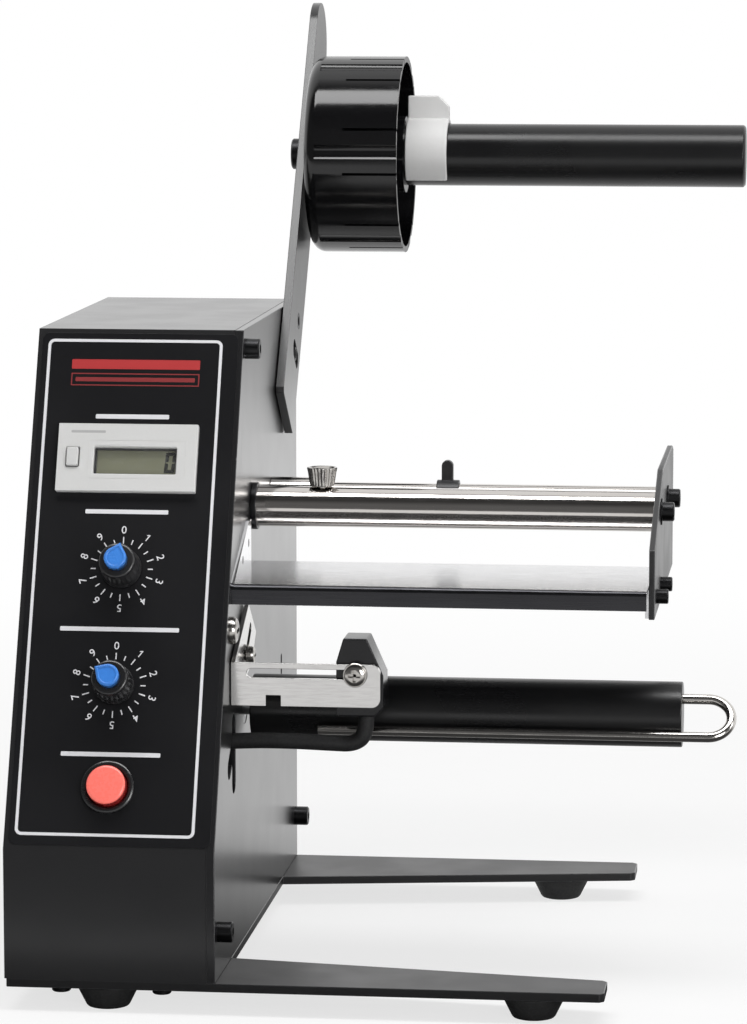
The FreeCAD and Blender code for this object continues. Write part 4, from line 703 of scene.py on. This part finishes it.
def screw_tree(name, cross):
    """Screws at the given points: a round head with a hexagon socket or a cross, and a plain shank."""
    tree, wiring, entry = shape_tree(name, {
        "Head Radius": 0.003, "Head Height": 0.004, "Shank Radius": 0.0015, "Shank Length": 0.008,
        "Edge": 0.0004, "Recess": 0.0015, "Recess Depth": 0.0015, "Turn": (0.0, 0.0, 0.0), "Sides": 40})
    tall = entry["Head Height"]
    radius = entry["Head Radius"]
    edge = entry["Edge"]
    head = drum(wiring, entry["Sides"], radius, tall - edge, (tall - edge) * 0.5)
    if cross:
        head = broken_edge(wiring, head, edge * 0.6, 0.9)
        head = broken_edge(wiring, head, edge * 0.4, 0.72)
    else:
        head = broken_edge(wiring, head, edge, 1 - edge / radius)
    long = entry["Shank Length"]
    shank = drum(wiring, 24, entry["Shank Radius"], long + tall * 0.5, long * -0.5 + tall * 0.25)
    body = wiring.make("GeometryNodeMeshBoolean", {"operation": "UNION"}, {"Mesh 2": [head, shank]})
    depth = entry["Recess Depth"]
    if cross:
        tools = []
        recess = entry["Recess"]
        for wide, deep in ((recess * 2, recess * 0.5), (recess * 0.5, recess * 2)):
            span = wiring.make("ShaderNodeCombineXYZ", None, {"X": wide, "Y": deep, "Z": depth * 2})
            bar = wiring.make("GeometryNodeMeshCube", None, {"Size": span})
            tools.append(moved(wiring, bar.outputs["Mesh"], lifted(wiring, tall)))
    else:
        tools = [drum(wiring, 6, entry["Recess"], depth * 2, tall)]
    cut = wiring.make("GeometryNodeMeshBoolean", {"operation": "DIFFERENCE"}, {
        "Mesh 1": body.outputs[0], "Mesh 2": tools})
    turn = wiring.make("FunctionNodeEulerToRotation", None, {0: entry["Turn"]})
    set_out = wiring.make("GeometryNodeInstanceOnPoints", None, {
        "Points": entry["Geometry"], "Instance": cut.outputs[0], "Rotation": turn})
    close_tree(wiring, set_out, entry)
    return tree


def mark_tree():
    """Marks round a dial: every second one is long, and all start at the same radius."""
    tree, wiring, entry = shape_tree("dial_marks", {
        "Marks": 20, "Start Radius": 0.009, "Long Mark": 0.0025, "Short Mark": 0.0018, "Width": 0.0004,
        "Thickness": 0.00004})
    number = Number(wiring, wiring.make("GeometryNodeInputIndex").outputs[0])
    marks = wiring.make("GeometryNodePoints", None, {"Count": entry["Marks"], "Radius": 0.001})
    short = number % 2
    long = entry["Long Mark"] + (entry["Short Mark"] - entry["Long Mark"]) * short
    angle = number * (2 * math.pi) / entry["Marks"]
    cube = wiring.make("GeometryNodeMeshCube", None, {"Size": (1.0, 1.0, 1.0)})
    lone = moved(wiring, cube.outputs["Mesh"], (0.0, 0.5, 0.5))
    size = wiring.make("ShaderNodeCombineXYZ", None, {"X": entry["Width"], "Y": long, "Z": entry["Thickness"]})
    euler = wiring.make("ShaderNodeCombineXYZ", None, {"Z": angle * -1})
    turn = wiring.make("FunctionNodeEulerToRotation", None, {0: euler})
    laid = wiring.make("GeometryNodeInstanceOnPoints", None, {
        "Points": marks, "Instance": lone, "Rotation": turn, "Scale": size})
    step = wiring.make("ShaderNodeCombineXYZ", None, {"Y": entry["Start Radius"] / long})
    outwards = wiring.make("GeometryNodeTranslateInstances", None, {
        "Instances": laid, "Translation": step, "Local Space": True})
    close_tree(wiring, outwards, entry)
    return tree


def joined(finish, *meshes):
    """One mesh made of several, all with one finish."""
    pieces = bmesh.new()
    for mesh in meshes:
        pieces.from_mesh(mesh)
        bpy.data.meshes.remove(mesh)
    made = bpy.data.meshes.new("joined")
    pieces.to_mesh(made)
    pieces.free()
    made.materials.append(finish)
    smoothed(made)
    return made


cap_screws = screw_tree("cap_screws", cross=False)
cross_screws = screw_tree("cross_screws", cross=True)
dial_marks = mark_tree()

# Ways that a screw's head can point: the turn that brings it there, and the axis and its sign
TURNS = {"x": (0.0, math.pi / 2, 0.0), "-x": (0.0, -math.pi / 2, 0.0), "-y": (math.pi / 2, 0.0, 0.0),
         "-z": (math.pi, 0.0, 0.0)}
AXES = {"x": (0, 1), "-x": (0, -1), "-y": (1, -1), "-z": (2, -1)}


WASHER_THICK = 0.8


def screws(node, way, kinds, finish):
    """Screws in place of a node's plain ones, each where its solid is. kinds holds the head height and
    the shank radius of every size of screw in the node, by head radius."""
    axis, sign = AXES[way]
    others = [i for i in range(3) if i != axis]
    made = []
    for low, high in islands(node):
        radius = (high[others[1]] - low[others[1]]) / 2
        head_tall, shank_radius = kinds[min(kinds, key=lambda size: abs(size - radius))]
        seat = (low + high) / 2
        end = high[axis] if sign > 0 else low[axis]
        seat[axis] = end - sign * head_tall
        long = (high[axis] - low[axis]) - head_tall
        made.append(grown(cap_screws, [spot(*seat)], {
            "Head Radius": radius * MM, "Head Height": head_tall * MM, "Shank Radius": shank_radius * MM,
            "Shank Length": long * MM, "Edge": min(0.5, radius * 0.12) * MM, "Recess": radius * 0.5 * MM,
            "Recess Depth": head_tall * 0.45 * MM, "Turn": TURNS[way]}, finish))
    stand(f"{node}_shown", joined(finish, *made), BODY[node], node)


def cross_screw(node, way, seat, head, head_tall, shank, long, washer_radius=0):
    """A round-headed screw with a cross, whose head stands on a washer where it has one."""
    meshes = [grown(cross_screws, [spot(*seat)], {
        "Head Radius": head * MM, "Head Height": head_tall * MM, "Shank Radius": shank * MM,
        "Shank Length": long * MM, "Edge": head_tall * 0.6 * MM, "Recess": head * 0.58 * MM,
        "Recess Depth": head_tall * 0.8 * MM, "Turn": TURNS[way]}, nickel)]
    if washer_radius:
        spin = Matrix.Translation(spot(*seat)) @ Euler(TURNS[way]).to_matrix().to_4x4()
        low = -WASHER_THICK
        meshes.append(turned([
            (shank, low), (washer_radius - 0.15, low), (washer_radius, low + 0.15), (washer_radius, -0.15),
            (washer_radius - 0.15, 0), (shank, 0), (shank, low)], spin, nickel, 48))
    stand(f"{node}_shown", joined(nickel, *meshes), BODY[node], node)


# Sensor cable: the drawing's route, from inside the sensor head to just inside the casing

CABLE_ROUTE = [
    (45.3, 45.2, 95), (45.3, 45.2, 87.9), (41.2, 45.2, 84.3), (33, 45, 84.6), (18, 45, 85.1), (3, 45, 84.9),
    (-9, 45, 83.9)]
CABLE_RADIUS = 2.75


def sensor_cable():
    curve = bpy.data.curves.new("sensor_cable_shown", "CURVE")
    curve.dimensions = "3D"
    curve.bevel_depth = CABLE_RADIUS * MM
    curve.bevel_resolution = 6
    curve.use_fill_caps = True
    curve.resolution_u = 12
    line = curve.splines.new("NURBS")
    line.points.add(len(CABLE_ROUTE) - 1)
    for point, place in zip(line.points, CABLE_ROUTE):
        point.co = (*spot(*place), 1.0)
    line.order_u = 3
    line.use_endpoint_u = True
    curve.materials.append(cable_jacket)
    cable = bpy.data.objects.new("sensor_cable_shown", curve)
    scene.collection.objects.link(cable)
    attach(cable, "sensor")
    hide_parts("sensor_cable")
    spot(*CABLE_ROUTE[0])


sensor_cable()

# Casing

# The plates' rounded edges carry a painted highlight with some wear, and the cover's carry a painted shade
# along its seam with the side plate
softened("side_plate", 0.3, black_paint, black_paint_edge_highlight_and_wear, clamp=False)
softened("cover_shell", 0.9, cover_paint, cover_paint_edge_shade_and_wear, steps=3)
softened("base_plate", 0.3, base_paint, black_paint_edge_highlight_and_wear, clamp=False)
softened("rubber_feet", 0.8, foot_rubber)
softened("control_label", 0.08, panel_film, steps=1)
screws("base_screws", "-z", {3.2: (2, 1.5)}, black_steel)
screws("side_screws", "x", {3.5: (5, 2)}, black_steel)


# Printing on the control label: a white frame, plain bars where captions stand, dial numbers and marks

PRINT_LOW = 0.3
PRINT_HIGH = 0.34


def printed(name, finish, draw):
    """A print on the panel, drawn in millimetres from the side plate and up the panel."""
    shape = bmesh.new()
    draw(shape)
    bmesh.ops.recalc_face_normals(shape, faces=shape.faces)
    stand(name, ended(shape, panel_frame(0, 0), finish), "casing")


def bar(shape, left, low, right, high, corner=0.3):
    slab(shape, rounded_outline(left, low, right, high, corner, 3), PRINT_LOW, PRINT_HIGH)


def white_frame(shape):
    border(shape, rounded_outline(-67.4, 4.8, -7.0, 178.4, 2.2), rounded_outline(-66.4, 5.8, -8.0, 177.4, 1.3),
           PRINT_LOW, PRINT_HIGH)


def caption_bars(shape):
    bar(shape, -49.3, 149.9, -24, 151.5)
    bar(shape, -50.7, 116.2, -22.3, 117.7)
    bar(shape, -56.7, 75.1, -16.2, 76.6)
    bar(shape, -53.6, 32.0, -20, 33.5)


def title_bar(shape):
    bar(shape, -58.7, 167.7, -14.4, 171.1)


def title_frame(shape):
    border(shape, rounded_outline(-58.7, 161.7, -14.4, 166.2, 0.2, 2),
           rounded_outline(-58.3, 162.1, -14.8, 165.8, 0.1, 2), PRINT_LOW, PRINT_HIGH)
    bar(shape, -57.2, 163.2, -15.9, 164.7)


printed("label_frame_line", print_white, white_frame)
printed("label_caption_bars", print_white, caption_bars)
printed("label_title_bar", print_red, title_bar)
printed("label_title_frame", print_dark_red, title_frame)

DIAL_X = -37
LENGTH_RISE = 96.9
SPEED_RISE = 56.5
NUMBER_RADIUS = 13.7
NUMBER_TALL = 3.7
NUMBER_HALF = 0.02


def number_shape(number):
    """A flat number. The one is drawn here, because the typeface has it as a plain stroke."""
    if number == 1:
        shape = bmesh.new()
        slab(shape, [(0.75, 0), (1.13, 0), (1.13, 2.52), (0.82, 2.52), (0.15, 2.0), (0.15, 1.6), (0.75, 2.02)],
             -NUMBER_HALF, NUMBER_HALF)
        mesh = bpy.data.meshes.new("number")
        shape.to_mesh(mesh)
        shape.free()
        return mesh
    text = bpy.data.curves.new("number", "FONT")
    text.body = str(number)
    text.size = NUMBER_TALL * MM
    text.extrude = NUMBER_HALF * MM
    text.offset = 0.02 * MM
    holder = bpy.data.objects.new("number", text)
    scene.collection.objects.link(holder)
    mesh = bpy.data.meshes.new_from_object(holder.evaluated_get(bpy.context.evaluated_depsgraph_get()))
    bpy.data.objects.remove(holder)
    return mesh


def dial_numbers(name, rise):
    """The numbers 0 to 9 round a dial, clockwise from its top, each with its foot to the middle."""
    numbers = bmesh.new()
    for number in range(10):
        mesh = number_shape(number)
        across = [v.co.x for v in mesh.vertices]
        upwards = [v.co.y for v in mesh.vertices]
        middle = Vector(((min(across) + max(across)) / 2, (min(upwards) + max(upwards)) / 2, 0))
        raise_up = Matrix.Translation(Vector((0, NUMBER_RADIUS * MM, (PRINT_LOW + NUMBER_HALF) * MM)))
        around = Matrix.Rotation(math.radians(-36 * number), 4, "Z")
        mesh.transform(around @ raise_up @ Matrix.Translation(-middle))
        numbers.from_mesh(mesh)
        bpy.data.meshes.remove(mesh)
    bmesh.ops.remove_doubles(numbers, verts=numbers.verts, dist=0.0000005)
    mesh = ended(numbers, panel_frame(DIAL_X, rise), print_white)
    stand(name, mesh, "casing")


for dial, rise in (("length", LENGTH_RISE), ("speed", SPEED_RISE)):
    dial_numbers(f"{dial}_numbers", rise)
    marks = grown(dial_marks, [(0, 0, 0)], {
        "Marks": 20, "Start Radius": 8.9 * MM, "Long Mark": 2.3 * MM, "Short Mark": 1.7 * MM, "Width": 0.4 * MM,
        "Thickness": (PRINT_HIGH - PRINT_LOW) * MM}, print_white,
        panel_frame(DIAL_X, rise) @ Matrix.Translation((0, 0, PRINT_LOW * MM)))
    stand(f"{dial}_marks", marks, "casing")


# Counter

COUNTER_X = -37.25
COUNTER_RISE = 135.45
COUNTER_FACE = 2.8
WINDOW_X = 2.8
WINDOW_RISE = -1.05
softened("counter_case", 0.45, counter_plastic, steps=3)
softened("counter_lens", 0.12, lens_plastic)
softened("counter_display", 0.1, display_sheet)
softened("counter_key", 0.45, key_plastic, steps=3)


def counter_piece(name, finish, draw):
    """A piece of the counter, drawn in millimetres from the middle of its case."""
    shape = bmesh.new()
    draw(shape)
    bmesh.ops.recalc_face_normals(shape, faces=shape.faces)
    stand(name, ended(shape, panel_frame(COUNTER_X, COUNTER_RISE), finish), "casing")


def window_lining(shape):
    """A black ring between the display and the window over it, standing in for the shadow inside the window:
    painted shadow.
    """
    left, right = WINDOW_X - 14.1, WINDOW_X + 14.1
    low, high = WINDOW_RISE - 4.65, WINDOW_RISE + 4.65
    border(shape, rounded_outline(left, low, right, high, 0.1, 2),
           rounded_outline(left + 0.75, low + 0.3, right - 0.35, high - 0.55, 0.1, 2), 0.42, 1.36)


def zero_digit(shape):
    """A nought in the display's last place, made of six strokes."""
    right = WINDOW_X + 13.3
    low = WINDOW_RISE - 3.7
    wide, tall, thick, gap = 3.6, 7.4, 1.2, 0.06
    middle = low + tall / 2
    left = right - wide
    slant = 0.08

    def stroke(points):
        slab(shape, [(u + (v - low) * slant, v) for u, v in points], 0.4, 0.44)

    for base, side in ((low, 1), (low + tall, -1)):
        stroke([(left + gap, base), (right - gap, base), (right - thick, base + side * thick),
                (left + thick, base + side * thick)][::side])
    for edge_u, side in ((left, 1), (right, -1)):
        for foot, head in ((low, middle), (middle, low + tall)):
            low_cut, high_cut = (thick, 0.3) if foot == low else (0.3, thick)
            stroke([(edge_u, foot + gap), (edge_u + side * thick, foot + gap + low_cut),
                    (edge_u + side * thick, head - gap - high_cut), (edge_u, head - gap)][::side])


def counter_prints(shape):
    """Plain bars where small grey captions stand on the face."""
    slab(shape, rounded_outline(-19.6, 8.6, -7.8, 9.5, 0.2, 2), COUNTER_FACE, COUNTER_FACE + 0.03)


def face_step(shape):
    """The raised line moulded round the window."""
    left, right = WINDOW_X - 16.1, WINDOW_X + 17.6
    low, high = WINDOW_RISE - 6.4, WINDOW_RISE + 7.4
    border(shape, rounded_outline(left, low, right, high, 0.8, 4),
           rounded_outline(left + 0.35, low + 0.35, right - 0.35, high - 0.35, 0.5, 4),
           COUNTER_FACE - 0.02, COUNTER_FACE + 0.07)


# The black ring round the display is painted shadow inside the window
counter_piece("window_lining", black_plastic, window_lining)
counter_piece("count_digit", digit_ink, zero_digit)
counter_piece("counter_caption_bar", print_grey, counter_prints)
counter_piece("counter_face_step", counter_plastic, face_step)


# Dials

KNOB_PROFILE = [
    (0, 9), (3, 9), (3, 4.4), (6, 4.4), (6, 0.8), (6.75, 0.8), (6.9, 0.95), (6.9, 1.7), (6.75, 2.0), (6.5, 2.3),
    (6.42, 2.8), (6.2, 10.3), (6.05, 10.85), (5.7, 11.2), (5.2, 11.3), (0, 11.3)]


def knob_ribs(angle, radius, height):
    """Shallow ribs round the grip of a knob."""
    return 0.05 * math.cos(24 * angle) if 2.5 < height < 10.5 and radius > 6.1 else 0


def teardrop(inset, steps=28):
    """Outline of a pointer cap, drawn in by inset: a round with two straight sides to a tip."""
    radius = 3.8 - inset
    tip = 5.6 - inset * 5.6 / 3.8
    half = math.acos(radius / tip)
    first = math.pi / 2 + half
    sweep = 2 * math.pi - 2 * half
    points = [(radius * math.cos(first + sweep * n / steps), radius * math.sin(first + sweep * n / steps))
              for n in range(steps + 1)]
    return points + [(inset * 0.12, tip - 0.25), (0, tip - 0.12), (-inset * 0.12, tip - 0.25)]


def pointer_cap(place):
    """A blue cap with a thin raised rim round its sunk face."""
    shape = bmesh.new()
    levels = [(0, 11.3), (0, 14.6), (0.12, 14.95), (0.4, 15.2), (0.75, 15.3), (1.0, 15.22), (1.2, 14.95)]
    rings = [[shape.verts.new((u * MM, v * MM, height * MM)) for u, v in teardrop(inset)]
             for inset, height in levels]
    count = len(rings[0])
    for low, high in zip(rings, rings[1:]):
        for number in range(count):
            after = (number + 1) % count
            shape.faces.new((low[number], low[after], high[after], high[number]))
    shape.faces.new(rings[0][::-1])
    shape.faces.new(rings[-1])
    bmesh.ops.remove_doubles(shape, verts=shape.verts, dist=0.000005)
    bmesh.ops.recalc_face_normals(shape, faces=shape.faces)
    cap = ended(shape, place, blue_plastic)
    evened(cap)
    return cap


for dial, rise, turn in (("length", LENGTH_RISE, -16), ("speed", SPEED_RISE, 58)):
    place = panel_frame(DIAL_X, rise, turn)
    body = f"{dial}_dial"
    stand(f"{dial}_knob_shown", turned(KNOB_PROFILE, place, knob_plastic, 96, knob_ribs), body, f"{dial}_knob")
    stand(f"{dial}_cap_shown", pointer_cap(place), body, f"{dial}_cap")
    dressed(f"{dial}_shaft", zinc)
    dressed(f"{dial}_pot", grey_steel)
dressed("dial_nuts", nickel)


# Power button

POWER_X = -36.9
POWER_RISE = 21.4
power_place = panel_frame(POWER_X, POWER_RISE)
stand("power_bezel_shown", turned([
    (8, -10), (8, 0.3), (8.7, 0.3), (9, 0.5), (9, 1.5), (8.85, 1.95), (8.4, 2.25), (7.8, 2.3), (7.3, 2.1),
    (6.95, 1.6), (6.9, 0.8), (6.9, -10), (8, -10)], power_place, knob_plastic, 80), "casing", "power_bezel")
stand("power_button_shown", turned([
    (0, -6), (6.6, -6), (6.6, 4.9), (6.5, 5.4), (6.2, 5.75), (5.6, 5.92), (4.5, 5.97), (2.2, 6), (0, 6)],
    power_place, lamp_plastic, 72), "power_push", "power_button")
dressed("power_switch", black_plastic)


# Supply arm, rod, hub and clip

PIVOT_ABOVE = 205
softened("supply_arm", 0.35, black_paint, black_paint_edge_highlight_and_wear)


def arm_screws():
    """The pivot screw and the stop screw, whose ends show in the arm with a deep socket each."""
    meshes = []
    for low, high in islands("arm_screws"):
        middle = (low + high) / 2
        shank = 3 if middle.z > PIVOT_ABOVE else 2.6
        place = Matrix.Translation(spot(0, middle.y, middle.z)) @ Matrix.Rotation(math.pi / 2, 4, "Y")
        meshes.append(turned([
            (0, -6), (4.7, -6), (5, -5.7), (5, -3), (shank, -3), (shank, 3.1), (shank - 0.2, 3.3), (1.9, 3.3),
            (1.7, 3.1), (1.7, 1.2), (0, 1.2)], place, black_steel, 48))
    stand("arm_screws_shown", joined(black_steel, *meshes), "casing", "arm_screws")


arm_screws()
screws("rod_bolt", "-x", {5.75: (4.3, 4)}, black_steel)
softened("supply_rod", 0.25, rod_plastic)
softened("supply_hub", 0.22, drum_plastic)
softened("rod_clip", 0.5, clip_nylon, steps=3)


# Label path

softened("front_rod", 0.25, chrome)
softened("rear_rod", 0.2, chrome)
softened("rear_collar", 0.3, sleeve_chrome)
softened("rod_ring", 0.3, black_steel)
softened("edge_guide", 0.5, black_plastic, steps=3)
softened("end_plate", 0.3, base_paint, black_paint_edge_highlight_and_wear, clamp=False)
screws("end_bolts", "x", {3.3: (4, 1.9), 2.5: (4, 1.4)}, black_steel)
dressed("rod_screws", black_steel)
softened("end_washers", 0.15, black_steel)


PEEL_FRONT = 38
PEEL_TOP = 139
PEEL_BEND = 1.6
LIP_BACK = 39.7


def peel_bend(shape):
    """Bends the sheet down over its front edge, and gives the front-facing faces of the bend a darker steel: a
    painted dark reflection.
    """
    near = 0.02 * MM
    edge = [e for e in shape.edges if all(
        abs(v.co.y - Y0 - PEEL_FRONT * MM) < near and abs(v.co.z - PEEL_TOP * MM) < near for v in e.verts)]
    bmesh.ops.bevel(shape, geom=edge, offset=PEEL_BEND * MM, segments=5, profile=0.5, affect="EDGES")
    for face in shape.faces:
        if face.normal.y < -0.12 and face.calc_center_median().y < Y0 + LIP_BACK * MM:
            face.material_index = 2


softened("peel_plate", 0.25, polished_steel, prepare=peel_bend, third=lip_painted_dark_reflection)
dressed("peel_screws", black_steel)

THUMB_PROFILE = [
    (0, -6), (1.75, -6), (1.9, -5.8), (1.9, 0.0), (3.9, 0.0), (4.15, 0.2), (4.2, 0.9), (4.45, 2.4), (4.8, 4.8),
    (5.1, 6.1), (5.1, 6.4), (4.95, 6.5), (4.5, 6.45), (3.9, 6.0), (2.6, 5.5), (0, 5.35)]


def knurl(angle, radius, height):
    """The knurl round the head of the thumb screw."""
    return 0.16 * math.cos(26 * angle) if radius > 4.1 and 0.5 < height < 6.45 else 0


stand("thumb_screw_shown", turned(
    THUMB_PROFILE, Matrix.Translation(spot(24.3, 93, 166.3)), nickel, 156, knurl), "thumb", "thumb_screw")


# Label sensor and take-up roller

softened("sensor_bracket", 0.5, bracket_steel, steps=3)
softened("sensor_head", 0.45, sensor_plastic, steps=3)
cross_screw("sensor_screw", "-y", (42.5, 35.4, 109.5), 3.6, 2, 1.3, 11.8, 4.1)
cross_screw("bracket_screw", "x", (2.9, 62.7, 111.2), 3.2, 2, 1.75, 5.9, 3.8)
cross_screw("terminal_screw", "x", (0, 39.6, 123.4), 4.7, 2.4, 1.9, 12)
softened("roller", 0.5, roller_sleeve, steps=3)
dressed("wire_clip", wire_steel)


# Works inside the casing

for node, finish in (
        ("terminal_block", black_plastic), ("output_shaft", zinc), ("output_gear", clip_nylon),
        ("motor_pinion", brass), ("motor_can", grey_steel), ("gearbox_case", zinc),
        ("gearbox_screws", black_steel), ("circuit_board", board_green), ("transformer", grey_steel),
        ("power_inlet", black_plastic)):
    dressed(node, finish)
